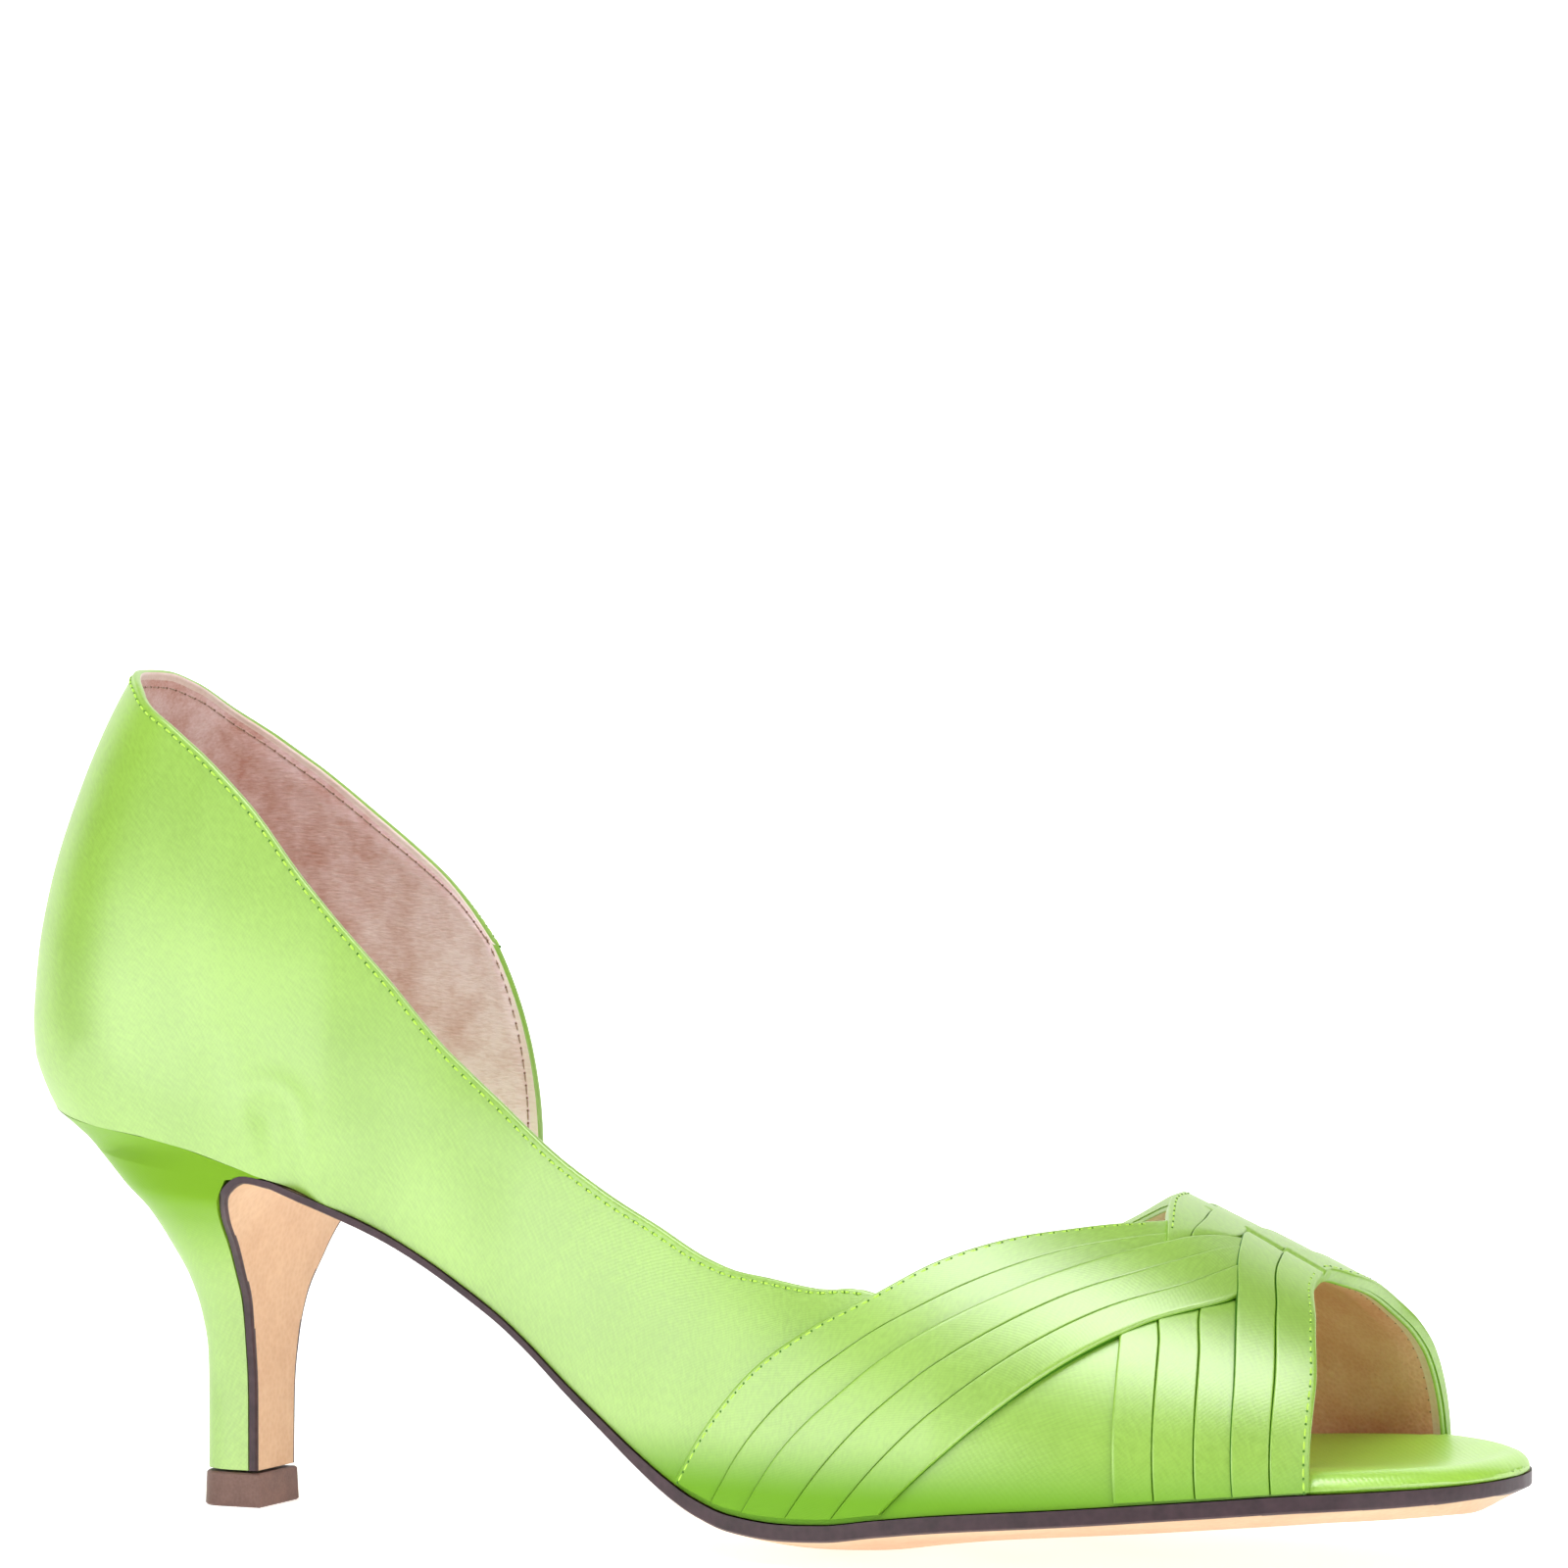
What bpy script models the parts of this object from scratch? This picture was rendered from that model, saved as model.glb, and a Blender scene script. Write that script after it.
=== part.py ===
"""Peep toe pump for a right foot: woven pleated vamp, closed outer quarter, slim low heel.

Metres. The origin is on the top lift's flat bottom, under the heel's stem, +X runs to the toe, +Y to
the inner (medial) side of the foot and +Z up.
"""
import math

import bmesh
import bpy

MM = 0.001

# Overall sizes of the last
REACH = 0.200
HALF_BALL = 0.040
HEEL_HEIGHT = 0.060
INSTEP = 0.080
TOE_SKEW = 0.004
ARCH_RAISE = 0.005
ARCH_AT = 0.25
ARCH_SPREAD = 0.14
TOE_ROUNDNESS = {-1: 2.2, 1: 2.1}

# Sheet thicknesses and fits
WALL = 1.8 * MM
SOLE_THICK = 2.3 * MM
SOLE_CAMBER = 4.5 * MM
SOLE_WELT = 0.6 * MM
INSOLE_RISE = 3.9 * MM
GAP = 0.3 * MM
INSET = 0.45 * MM
STRIP_LOW = 0.75 * MM
STRIP_HIGH = 1.45 * MM
STRIP_SINK = 0.70 * MM
SINK_STEP = 0.10 * MM
STRIP_VALLEY = 0.35 * MM
CROSSED_LIFT = 0.3 * MM
BURIED_DROP = 0.2 * MM
TUCK = 0.004
EDGE_SETBACK = 0.6 * MM
RIM_ROLL = 0.9 * MM
CREST_FOLLOW = 0.55
TIP_CLEAR = 0.05 * MM
FLAP_CAMBER = 0.45 * MM

# Heel and top lift
LIFT_HEIGHT = 5.1 * MM
LIFT_LENGTH = 10.6 * MM
LIFT_WIDTH = 12.4 * MM
LIFT_CORNER = 3.6 * MM
LIFT_AHEAD = 1.3 * MM
LIFT_NARROWING = 0.965
LIFT_SOFTENING = 0.25 * MM
STEM_SQUARENESS = 2.7
SEAT_SQUARENESS = 2.3
HOLLOW_FRONT = 2.5

# Stations along the shoe, as shares of REACH
HEEL_CENTRE = -0.010
BALL = 0.650
TIP = 1.006
BREAST = 0.062
WAIST_FRONT = 0.1955
WAIST_CLOSES = 0.425
PEEP = 0.910
BULGE_ENDS = 0.44
BULGE_FADE = 0.30
JOIN_RISE = 35.2
OPENS_OVER = 6.0

# Seat and sole line at the feather edge: x by REACH, z by HEEL_HEIGHT
FEATHER = (
    (-0.140, 1.000), (-0.090, 0.975), (0.000, 0.933), (0.070, 0.870), (0.100, 0.838), (0.140, 0.793),
    (0.190, 0.725), (0.270, 0.567), (0.300, 0.492), (0.333, 0.403), (0.365, 0.323), (0.400, 0.243),
    (0.433, 0.178), (0.453, 0.147), (0.485, 0.117), (0.525, 0.107), (0.565, 0.113), (0.605, 0.132),
    (0.655, 0.153), (0.740, 0.178), (0.840, 0.207), (0.910, 0.227), (1.006, 0.247),
)

# Half widths of the last: x by REACH, outer and inner side by HALF_BALL
WIDTHS = (
    (-0.010, 0.637, 0.637), (0.050, 0.650, 0.630), (0.125, 0.650, 0.600), (0.200, 0.640, 0.563),
    (0.275, 0.640, 0.545), (0.350, 0.695, 0.570), (0.425, 0.795, 0.670), (0.500, 0.905, 0.805),
    (0.575, 0.983, 0.913), (0.650, 1.013, 0.958),
)

# Height of the rounded profile over the feather edge: x by REACH, height by INSTEP
CROWN = (
    (-0.140, 0.955), (-0.100, 0.960), (-0.010, 1.015), (0.060, 1.090), (0.180, 1.080), (0.300, 0.980),
    (0.400, 0.965), (0.475, 0.887), (0.550, 0.754), (0.600, 0.670), (0.665, 0.578), (0.745, 0.492),
    (0.800, 0.427), (0.860, 0.353), (0.900, 0.303), (0.950, 0.235), (1.006, 0.115),
)

# Fullness of the counter: share of the rise to the collar, share of the full bulge
BULGE = (
    (0.00, 0.00), (0.05, 0.47), (0.13, 0.86), (0.22, 1.00), (0.35, 1.00), (0.50, 0.88), (0.76, 0.42),
    (1.00, 0.00),
)
BULGE_BACK = 4.3 * MM
BULGE_SIDE = 1.4 * MM
BULGE_SPAN = 0.79

# Top edge of the quarter: station, height over the feather edge by INSTEP
COLLAR_OUTER = (
    (-0.010, 0.755), (0.060, 0.668), (0.117, 0.560), (0.180, 0.464), (0.241, 0.392), (0.303, 0.372),
    (0.358, 0.391), (0.426, 0.421), (0.498, 0.424), (0.562, 0.406), (0.594, 0.403),
)
COLLAR_INNER = ((-0.010, 0.715), (0.053, 0.628), (0.113, 0.542), (0.170, 0.425))
COLLAR_BACK = ((0.0, 0.793), (20.0, 0.805), (45.0, 0.800), (70.0, 0.775), (90.0, 0.755))
COLLAR_BACK_INNER = ((0.0, 0.793), (20.0, 0.803), (45.0, 0.790), (70.0, 0.750), (90.0, 0.715))

# Edges of the band that starts at the outer side: rise in degrees over the profile, x by REACH
OUTER_EDGES = {
    0: ((0, 0.435), (8, 0.461), (18, 0.502), (27, 0.549), (JOIN_RISE, 0.594), (44, 0.632), (55, 0.676),
        (64, 0.711), (74, 0.738), (82, 0.753), (90, 0.759), (105, 0.762), (142, 0.771), (180, 0.783)),
    2: ((0, 0.495), (9, 0.529), (21, 0.588), (36, 0.658), (51, 0.710), (65, 0.750), (83.5, 0.807),
        (88, 0.835), (93, 0.865)),
    5: ((0, 0.608), (10, 0.658), (25, 0.722), (42, 0.785), (58, 0.834), (75, 0.850), (90, 0.860)),
}

# Edges of the band that ends at the outer side
INNER_EDGES = {
    0: ((0, 0.783), (38, 0.770), (70, 0.760), (84, 0.755), (90, 0.759), (98, 0.757), (106, 0.748),
        (116, 0.728), (126, 0.695), (136, 0.650), (146, 0.602), (155, 0.549), (163, 0.502), (172, 0.461),
        (180, 0.435)),
    2: ((75, 0.800), (83.5, 0.807), (96.5, 0.807), (115, 0.750), (129, 0.710), (144, 0.658), (159, 0.588),
        (171, 0.529), (180, 0.495)),
    3: ((0, 0.860), (29, 0.853), (58, 0.833), (70, 0.820), (84, 0.807)),
    5: ((0, 0.908), (33, 0.903), (58, 0.887), (76, 0.870), (90, 0.866), (97, 0.877), (121, 0.887),
        (130, 0.896), (143, 0.902), (180, 0.905)),
    "under": ((105, 0.775), (115, 0.744), (129, 0.704), (144, 0.652), (159, 0.582), (171, 0.523),
              (180, 0.489)),
    "far": ((100, 0.835), (122, 0.834), (138, 0.785), (155, 0.722), (170, 0.658), (180, 0.608)),
}

# Thickness of the sole sheet and depth of its belly along the shoe: x by REACH, shares
SOLE_SHEET = (
    (0.070, 0.52, 0.00), (0.120, 0.52, 0.30), (0.200, 0.52, 0.55), (0.300, 0.56, 0.78),
    (0.360, 0.70, 0.92),
    (0.440, 1.00, 1.00), (0.750, 1.00, 1.00), (0.950, 1.00, 0.85), (1.006, 1.00, 0.60),
)

# Sole sheet where it turns down the heel breast: x by REACH, z by HEEL_HEIGHT, turn in degrees,
# half width by HALF_BALL
BREAST_TURN = (
    (0.0930, 0.826, 10, 0.655), (0.0710, 0.845, 25, 0.648), (0.0530, 0.815, 48, 0.625),
    (0.0420, 0.747, 64, 0.530), (0.0355, 0.675, 76, 0.410), (0.0315, 0.600, 83, 0.320),
    (0.0280, 0.517, 87, 0.235), (0.0255, 0.417, 90, 0.190), (0.0245, 0.283, 90, 0.160),
    (0.0240, 0.092, 90, 0.155),
)

# Heel block: front x, front z, back x, back z, half width at the front and at the fullest
HEEL_SECTIONS = (
    (0.0225, 0.092, -0.0205, 0.092, 0.150, 0.155), (0.0230, 0.275, -0.0205, 0.275, 0.155, 0.158),
    (0.0240, 0.410, -0.0195, 0.385, 0.182, 0.190), (0.0262, 0.510, -0.0220, 0.475, 0.228, 0.240),
    (0.0295, 0.592, -0.0275, 0.567, 0.310, 0.325), (0.0332, 0.664, -0.0385, 0.652, 0.400, 0.415),
    (0.0385, 0.738, -0.0540, 0.748, 0.520, 0.528), (0.0468, 0.797, -0.0755, 0.822, 0.612, 0.612),
    (0.0550, 0.842, -0.1005, 0.903, 0.632, 0.630),
)


def ease(rows, at, column=1):
    """Smooth monotone reading of one column of a table at a station."""
    if at <= rows[0][0]:
        return rows[0][column]
    if at >= rows[-1][0]:
        return rows[-1][column]
    last = len(rows) - 1
    k = max(i for i in range(last) if rows[i][0] <= at)
    runs = [rows[i + 1][0] - rows[i][0] for i in range(last)]
    slopes = [(rows[i + 1][column] - rows[i][column]) / runs[i] for i in range(last)]

    def tangent(i):
        if i == 0:
            return slopes[0]
        if i == last:
            return slopes[-1]
        before, after = slopes[i - 1], slopes[i]
        if before * after <= 0.0:
            return 0.0
        w0 = 2 * runs[i] + runs[i - 1]
        w1 = runs[i] + 2 * runs[i - 1]
        return (w0 + w1) / (w0 / before + w1 / after)

    h = runs[k]
    t = (at - rows[k][0]) / h
    value = (2 * t ** 3 - 3 * t ** 2 + 1) * rows[k][column] + (t ** 3 - 2 * t ** 2 + t) * h * tangent(k)
    return value + (3 * t ** 2 - 2 * t ** 3) * rows[k + 1][column] + (t ** 3 - t ** 2) * h * tangent(k + 1)


def mix(a, b, t):
    return a + (b - a) * t


def half_width(s, side):
    """Half width of the last at station s, on the outer (-1) or the inner (+1) side."""
    column = 1 if side < 0 else 2
    if s < HEEL_CENTRE:
        radius = WIDTHS[0][column] * HALF_BALL
        back = (HEEL_CENTRE - s) * REACH
        return math.sqrt(max(radius ** 2 - back ** 2, 0.0))
    if s <= BALL:
        return ease(WIDTHS, s, column) * HALF_BALL
    power = TOE_ROUNDNESS[side]
    f = min((s - BALL) / (TIP - BALL), 1.0)
    return WIDTHS[-1][column] * HALF_BALL * max(1.0 - f ** power, 0.0) ** (1.0 / power)


def axis_y(s):
    f = min(max((s - BALL) / (TIP - BALL), 0.0), 1.0)
    return TOE_SKEW * f * f


def feather_z(s, across):
    """Height of the feather line; across runs from -1 on the outer side to +1 on the inner side."""
    raised = ARCH_RAISE * math.exp(-((s - ARCH_AT) / ARCH_SPREAD) ** 2)
    return ease(FEATHER, s) * HEEL_HEIGHT + raised * (1.0 + across) / 2.0


def bulge(height, full):
    return full * ease(BULGE, height / (BULGE_SPAN * INSTEP))


def side_point(s, side, rise):
    """Point of the last ahead of the heel centre; rise is the angle over the rounded profile."""
    if rise > 90.0:
        side, rise = -side, 180.0 - rise
    a = math.radians(rise)
    crown = ease(CROWN, s) * INSTEP
    fade = min(max((BULGE_ENDS - s) / BULGE_FADE, 0.0), 1.0)
    full = BULGE_SIDE * fade * fade
    out = half_width(s, side) * math.cos(a) + bulge(crown * math.sin(a), full)
    return (s * REACH, axis_y(s) + side * out, feather_z(s, side * math.cos(a)) + crown * math.sin(a))


def heel_point(turn, rise):
    """Point of the last round the heel; turn is 0 at the back, -90 on the inner and 90 on the outer side."""
    b, a = math.radians(turn), math.radians(rise)
    base = HEEL_CENTRE - WIDTHS[0][1] * HALF_BALL * math.cos(b) / REACH
    crown = ease(CROWN, base) * INSTEP
    full = mix(BULGE_SIDE, BULGE_BACK, math.cos(b) ** 2)
    out = WIDTHS[0][1] * HALF_BALL * math.cos(a) + bulge(crown * math.sin(a), full)
    z = feather_z(base, -math.sin(b)) + crown * math.sin(a)
    return (HEEL_CENTRE * REACH - out * math.cos(b), -out * math.sin(b), z)


def rise_of(height, s):
    """Angle over the profile at which a height is reached, both as shares of INSTEP."""
    return math.degrees(math.asin(min(height / ease(CROWN, s), 1.0)))


def quarter_columns():
    """Columns of the quarter: (kind, foot station, head station, rise of the top edge)."""
    columns = []
    feet = (WAIST_FRONT, 0.183, 0.164, 0.136, 0.100, 0.060, 0.020)
    heads = (0.1580, 0.144, 0.128, 0.108, 0.082, 0.052, 0.019)
    for foot, head in zip(feet, heads):
        columns.append(("inner", foot, head, rise_of(ease(COLLAR_INNER, head), head)))
    for turn in range(-90, 91, 10):
        base = HEEL_CENTRE - WIDTHS[0][1] * HALF_BALL * math.cos(math.radians(turn)) / REACH
        rows = COLLAR_BACK if turn >= 0 else COLLAR_BACK_INNER
        columns.append(("heel", turn, turn, rise_of(ease(rows, abs(turn)), base)))
    outer = (
        (0.020, 0.020), (0.055, 0.055), (0.090, 0.090), (0.125, 0.126), (0.160, 0.163), (0.195, 0.202),
        (0.230, 0.243), (0.260, 0.283), (0.290, 0.326), (0.320, 0.372), (0.348, 0.420), (0.374, 0.466),
        (0.397, 0.510), (0.417, 0.552),
    )
    for foot, head in outer:
        columns.append(("outer", foot, head, rise_of(ease(COLLAR_OUTER, head), head)))
    return columns


LEVELS = (0.0, 0.04, 0.10, 0.18, 0.28, 0.40, 0.52, 0.64, 0.76, 0.88, 1.0)


def quarter_point(column, level):
    kind, foot, head, top = column
    rise = top * level
    if kind == "heel":
        return heel_point(foot, rise)
    if kind == "inner":
        return side_point(mix(foot, head, level ** 3.0), 1, rise)
    rows = OUTER_EDGES[0]
    lean = (ease(rows, JOIN_RISE * level) - rows[0][1]) / (ease(rows, JOIN_RISE) - rows[0][1])
    return side_point(mix(foot, head, lean), -1, rise)


def vamp_rear(rise):
    """Rear edge of the vamp's backing, drawn in a little from the bands' folded edge where it is open."""
    setback = EDGE_SETBACK / REACH
    if rise <= 90.0:
        open_share = min(max((rise - JOIN_RISE) / OPENS_OVER, 0.0), 1.0)
        return ease(OUTER_EDGES[0], rise) + setback * open_share
    return ease(INNER_EDGES[0], rise) + setback


def vamp_front(rise):
    return ease(INNER_EDGES[5], rise) - EDGE_SETBACK / REACH


def new_object(name, bm, material, collection):
    mesh = bpy.data.meshes.new(name)
    bmesh.ops.recalc_face_normals(bm, faces=bm.faces)
    bm.to_mesh(mesh)
    bm.free()
    mesh.materials.append(material)
    mesh.shade_smooth()
    obj = bpy.data.objects.new(name, mesh)
    collection.objects.link(obj)
    return obj


def make_material(name, colour, roughness):
    material = bpy.data.materials.new(name)
    material.use_nodes = True
    shader = material.node_tree.nodes["Principled BSDF"]
    shader.inputs["Base Color"].default_value = colour
    shader.inputs["Roughness"].default_value = roughness
    return material


def grid_faces(bm, rows):
    """Quads between neighbouring rows of vertices; repeated vertices give triangles."""
    for low, high in zip(rows, rows[1:]):
        for i in range(len(low) - 1):
            corners = []
            for v in (low[i], low[i + 1], high[i + 1], high[i]):
                if v not in corners:
                    corners.append(v)
            if len(corners) > 2 and bm.faces.get(corners) is None:
                bm.faces.new(corners)


def build_backing(collection, material):
    """Quarter and vamp backing as one open surface, given its wall by Solidify."""
    bm = bmesh.new()
    columns = quarter_columns()
    grid = [[bm.verts.new(quarter_point(c, level)) for level in LEVELS] for c in columns]
    rises = [JOIN_RISE * level for level in LEVELS] + [41, 48, 55, 62, 69, 76, 83, 90, 97, 104]
    rises += [112, 120, 128, 136, 144, 152, 160, 168, 175, 180]
    shares = (0.0, 0.10, 0.22, 0.34, 0.46, 0.58, 0.70, 0.82, 0.92, 1.0)
    vamp = []
    for share in shares:
        row = [side_point(mix(vamp_rear(r), vamp_front(r), share), -1, r) for r in rises]
        vamp.append([bm.verts.new(p) for p in row])
    grid.append(vamp[0][:len(LEVELS)])
    grid_faces(bm, grid)
    grid_faces(bm, vamp)
    obj = new_object("upper", bm, material, collection)
    if obj.data.polygons[0].normal.y < 0.0:
        obj.data.flip_normals()
    wall = obj.modifiers.new("wall", "SOLIDIFY")
    wall.thickness = WALL
    wall.offset = -1.0
    wall.use_even_offset = True
    return obj


def surface_normal(s, rise):
    """Outward direction of the last's side at a station and rise."""
    step_s, step_r = 0.002, 0.4
    p0, p1 = side_point(s - step_s, -1, rise), side_point(s + step_s, -1, rise)
    q0, q1 = side_point(s, -1, rise - step_r), side_point(s, -1, rise + step_r)
    u = [p1[i] - p0[i] for i in range(3)]
    v = [q1[i] - q0[i] for i in range(3)]
    n = (u[1] * v[2] - u[2] * v[1], u[2] * v[0] - u[0] * v[2], u[0] * v[1] - u[1] * v[0])
    size = math.sqrt(sum(c * c for c in n))
    return [c / size for c in n]


def lifted(s, rise, height):
    """Point at a height over the last's side."""
    p = side_point(s, -1, rise)
    n = surface_normal(s, rise)
    return tuple(p[i] + n[i] * height for i in range(3))


# Plates of the weave: rear edge, front edge, first rise at the rear and front edge, last rise at the rear
# and front edge, strips, height at the first and at the last rise, reach under the next plate
DEGREES_A_STEP = 5.5
HALF_LIFTED = STRIP_LOW + CROSSED_LIFT
CROSSING = STRIP_HIGH - CROSSED_LIFT
TUCKED = STRIP_HIGH - 0.35 * MM
LOW = STRIP_LOW - BURIED_DROP
PLATES = {
    "outer_rear": (OUTER_EDGES[0], OUTER_EDGES[2], 1.5, 1.5, 84.0, 79.0, 2, STRIP_LOW, STRIP_LOW, TUCK),
    "outer_front": (OUTER_EDGES[2], OUTER_EDGES[5], 1.5, 1.5, 85.5, 60.5, 3, HALF_LIFTED, TUCKED, 0.0),
    "crossed_low": (INNER_EDGES[0], INNER_EDGES[3], 1.5, 1.5, 43.0, 61.0, 3, STRIP_LOW, STRIP_LOW, TUCK),
    "toe": (INNER_EDGES[3], INNER_EDGES[5], 1.5, 1.5, 85.0, 91.0, 2, HALF_LIFTED, STRIP_HIGH, 0.0),
    "throat": (INNER_EDGES[0], INNER_EDGES[2], 75.0, 84.0, 178.5, 178.5, 2, STRIP_HIGH, STRIP_LOW, 0.0),
    "inner_front": (OUTER_EDGES[0], INNER_EDGES[5], 106.0, 89.0, 178.5, 178.5, 3, CROSSING, HALF_LIFTED, 0.0),
    "inner_rear": (INNER_EDGES["under"], INNER_EDGES["far"], 112.0, 140.0, 178.0, 178.0, 3, LOW, LOW, 0.0),
}


def build_plate(name, plate, sink, scratch, material):
    """Solid plate of pleated strips on the last, from inside the backing to its raised face."""
    rear, front, r0, r1, e0, e1, strips, low, high, under = plate
    bm = bmesh.new()
    fold = (0.0, 0.22, 0.78)
    across = [(k + part) / strips for k in range(strips) for part in fold] + [1.0]
    length = max(abs(e0 - r0), abs(e1 - r1))
    steps = max(int(length / DEGREES_A_STEP), 4)
    top, bottom = [], []
    for j in range(steps + 1):
        t = j / steps
        upper_row, lower_row = [], []
        for k, share in enumerate(across):
            rise = mix(mix(r0, r1, share), mix(e0, e1, share), t)
            s = mix(ease(rear, rise), ease(front, rise) + under, share)
            dip = STRIP_VALLEY if k % len(fold) == 0 else 0.0
            upper_row.append(bm.verts.new(lifted(s, rise, mix(low, high, t) - dip)))
            lower_row.append(bm.verts.new(lifted(s, rise, -sink)))
        top.append(upper_row)
        bottom.append(lower_row)
    grid_faces(bm, top)
    grid_faces(bm, bottom)
    for rows in ((top[0], bottom[0]), (top[-1], bottom[-1])):
        grid_faces(bm, rows)
    for side in (0, -1):
        grid_faces(bm, ([row[side] for row in top], [row[side] for row in bottom]))
    obj = new_object("plate_" + name, bm, material, scratch)
    obj.hide_render = True
    obj.display_type = "WIRE"
    return obj


def sole_stations():
    """Stations from the toe tip back to the breast, closer together round the toe."""
    turns = (84, 77, 69, 61, 52, 43, 34, 25, 16, 8)
    round_toe = [TIP] + [mix(BALL, TIP, math.sin(math.radians(a))) for a in turns]
    straight = [0.650, 0.615, 0.590, 0.565, 0.545, 0.525, 0.505, 0.485, 0.465, 0.445, 0.425, 0.405, 0.385]
    waist = [0.360, 0.335, 0.310, 0.285, 0.260, 0.230, 0.200, 0.170, 0.145, 0.120]
    return round_toe + straight + waist


ACROSS = (-1.0, -0.94, -0.82, -0.64, -0.44, -0.24, 0.0, 0.24, 0.44, 0.64, 0.82, 0.94, 1.0)


def sole_top(s, q):
    """Point of the sole sheet's upper face; q runs across from -1 to 1."""
    side = -1 if q < 0 else 1
    y = axis_y(s) + q * (half_width(s, side) + SOLE_WELT)
    belly = SOLE_CAMBER * ease(SOLE_SHEET, s, 2) * (1.0 - q * q)
    return (s * REACH, y, feather_z(s, q) - belly - GAP)


def build_outsole(collection, material):
    """Sole sheet from the toe to the breast, turned down the heel breast to the top lift."""
    bm = bmesh.new()
    top, bottom = [], []
    for s in sole_stations():
        thick = SOLE_THICK * ease(SOLE_SHEET, s, 1)
        if s >= TIP:
            x, y, z = s * REACH + SOLE_WELT, axis_y(s), feather_z(s, 0) - GAP
            top.append([bm.verts.new((x, y, z))] * len(ACROSS))
            bottom.append([bm.verts.new((x, y, z - thick))] * len(ACROSS))
            continue
        points = [sole_top(s, q) for q in ACROSS]
        top.append([bm.verts.new(p) for p in points])
        bottom.append([bm.verts.new((x, y, max(z - thick, 0.0))) for x, y, z in points])
    sheet = SOLE_SHEET[0][1] * SOLE_THICK
    for x, z, turn, half in BREAST_TURN:
        a = math.radians(turn)
        normal = (-math.sin(a), math.cos(a))
        camber = FLAP_CAMBER * math.cos(a)
        upper_row, lower_row = [], []
        for q in ACROSS:
            lift = camber * q * q
            px, pz = x * REACH + normal[0] * lift, z * HEEL_HEIGHT + normal[1] * lift
            y = q * half * HALF_BALL
            upper_row.append(bm.verts.new((px, y, pz)))
            lower_row.append(bm.verts.new((px - normal[0] * sheet, y, pz - normal[1] * sheet)))
        top.append(upper_row)
        bottom.append(lower_row)
    grid_faces(bm, top)
    grid_faces(bm, bottom)
    grid_faces(bm, (top[-1], bottom[-1]))
    for side in (0, -1):
        grid_faces(bm, ([row[side] for row in top], [row[side] for row in bottom]))
    return new_object("outsole", bm, material, collection)


def insole_inset(s, side):
    """How far the insole stays inside the feather line: tucked in under the wall, flush where it is open."""
    hidden = WALL + INSET
    toe = min(max((s - PEEP - 0.004) / 0.014, 0.0), 1.0)
    share = toe
    if side > 0:
        opens = min(max((s - WAIST_FRONT - 0.004) / 0.012, 0.0), 1.0)
        closes = min(max((WAIST_CLOSES - s) / 0.012, 0.0), 1.0)
        share = max(toe, opens * closes)
    share = share * share * (3.0 - 2.0 * share)
    return mix(hidden, GAP, share)


def slant(s, side):
    """Length of a cut straight across the outline for each unit square to it."""
    step = 0.002
    run = (half_width(s + step, side) - half_width(s - step, side)) / (2 * step * REACH)
    return math.sqrt(1.0 + run * run)


def build_insole(collection, material):
    """Wrapped insole board, lying on the heel seat and the sole inside the wall."""
    bm = bmesh.new()
    toe = [mix(BALL, TIP, math.sin(math.radians(a))) for a in (84, 77, 69, 61)]
    toe += [0.943, 0.934, 0.928, 0.921, 0.914, 0.902, 0.870, 0.830, 0.785, 0.740, 0.695]
    middle = [0.650, 0.605, 0.565, 0.525, 0.485, 0.455, 0.432, 0.425, 0.419, 0.413, 0.400, 0.380, 0.355]
    waist = [0.325, 0.295, 0.265, 0.235, 0.217, 0.212, 0.207, 0.203, 0.1995, 0.190, 0.170, 0.140, 0.105]
    waist += [0.070, 0.030, HEEL_CENTRE]
    radius = WIDTHS[0][1] * HALF_BALL - WALL - INSET
    heel = [HEEL_CENTRE - radius / REACH * math.sin(math.radians(a)) for a in (15, 30, 44, 57, 69, 79)]
    tip_x = TIP * REACH - GAP
    back_x = HEEL_CENTRE * REACH - radius
    top, bottom = [], []
    shares = (-1.0, -0.965, -0.80, -0.50, -0.20, 0.20, 0.50, 0.80, 0.965, 1.0)

    def place(s, x, widths):
        high, low = [], []
        for q in shares:
            side = -1 if q < 0 else 1
            y = axis_y(s) + q * widths[side]
            belly = SOLE_CAMBER * ease(SOLE_SHEET, s, 2) * (1.0 - q * q)
            floor = feather_z(s, q) - belly
            crest = feather_z(s, q) + INSOLE_RISE - belly * CREST_FOLLOW
            if abs(q) == 1.0:
                crest -= RIM_ROLL
            high.append((x, y, crest))
            low.append((x, y, floor))
        return high, low

    for s in [TIP] + toe + middle + waist + heel + [None]:
        if s is TIP or s is None:
            x = tip_x if s is TIP else back_x
            station = x / REACH
            floor = feather_z(station, 0.0)
            high = bm.verts.new((x, axis_y(station), floor + INSOLE_RISE - RIM_ROLL))
            low = bm.verts.new((x, axis_y(station), floor + TIP_CLEAR))
            top.append([high] * len(shares))
            bottom.append([low] * len(shares))
            continue
        if s >= HEEL_CENTRE:
            widths = {side: half_width(s, side) - insole_inset(s, side) * slant(s, side) for side in (-1, 1)}
        else:
            half = math.sqrt(max(radius ** 2 - ((HEEL_CENTRE - s) * REACH) ** 2, 0.0))
            widths = {-1: half, 1: half}
        high, low = place(s, s * REACH, widths)
        top.append([bm.verts.new(p) for p in high])
        bottom.append([bm.verts.new(p) for p in low])
    grid_faces(bm, top)
    grid_faces(bm, bottom)
    for side in (0, -1):
        grid_faces(bm, ([row[side] for row in top], [row[side] for row in bottom]))
    return new_object("insole", bm, material, collection)


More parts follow.
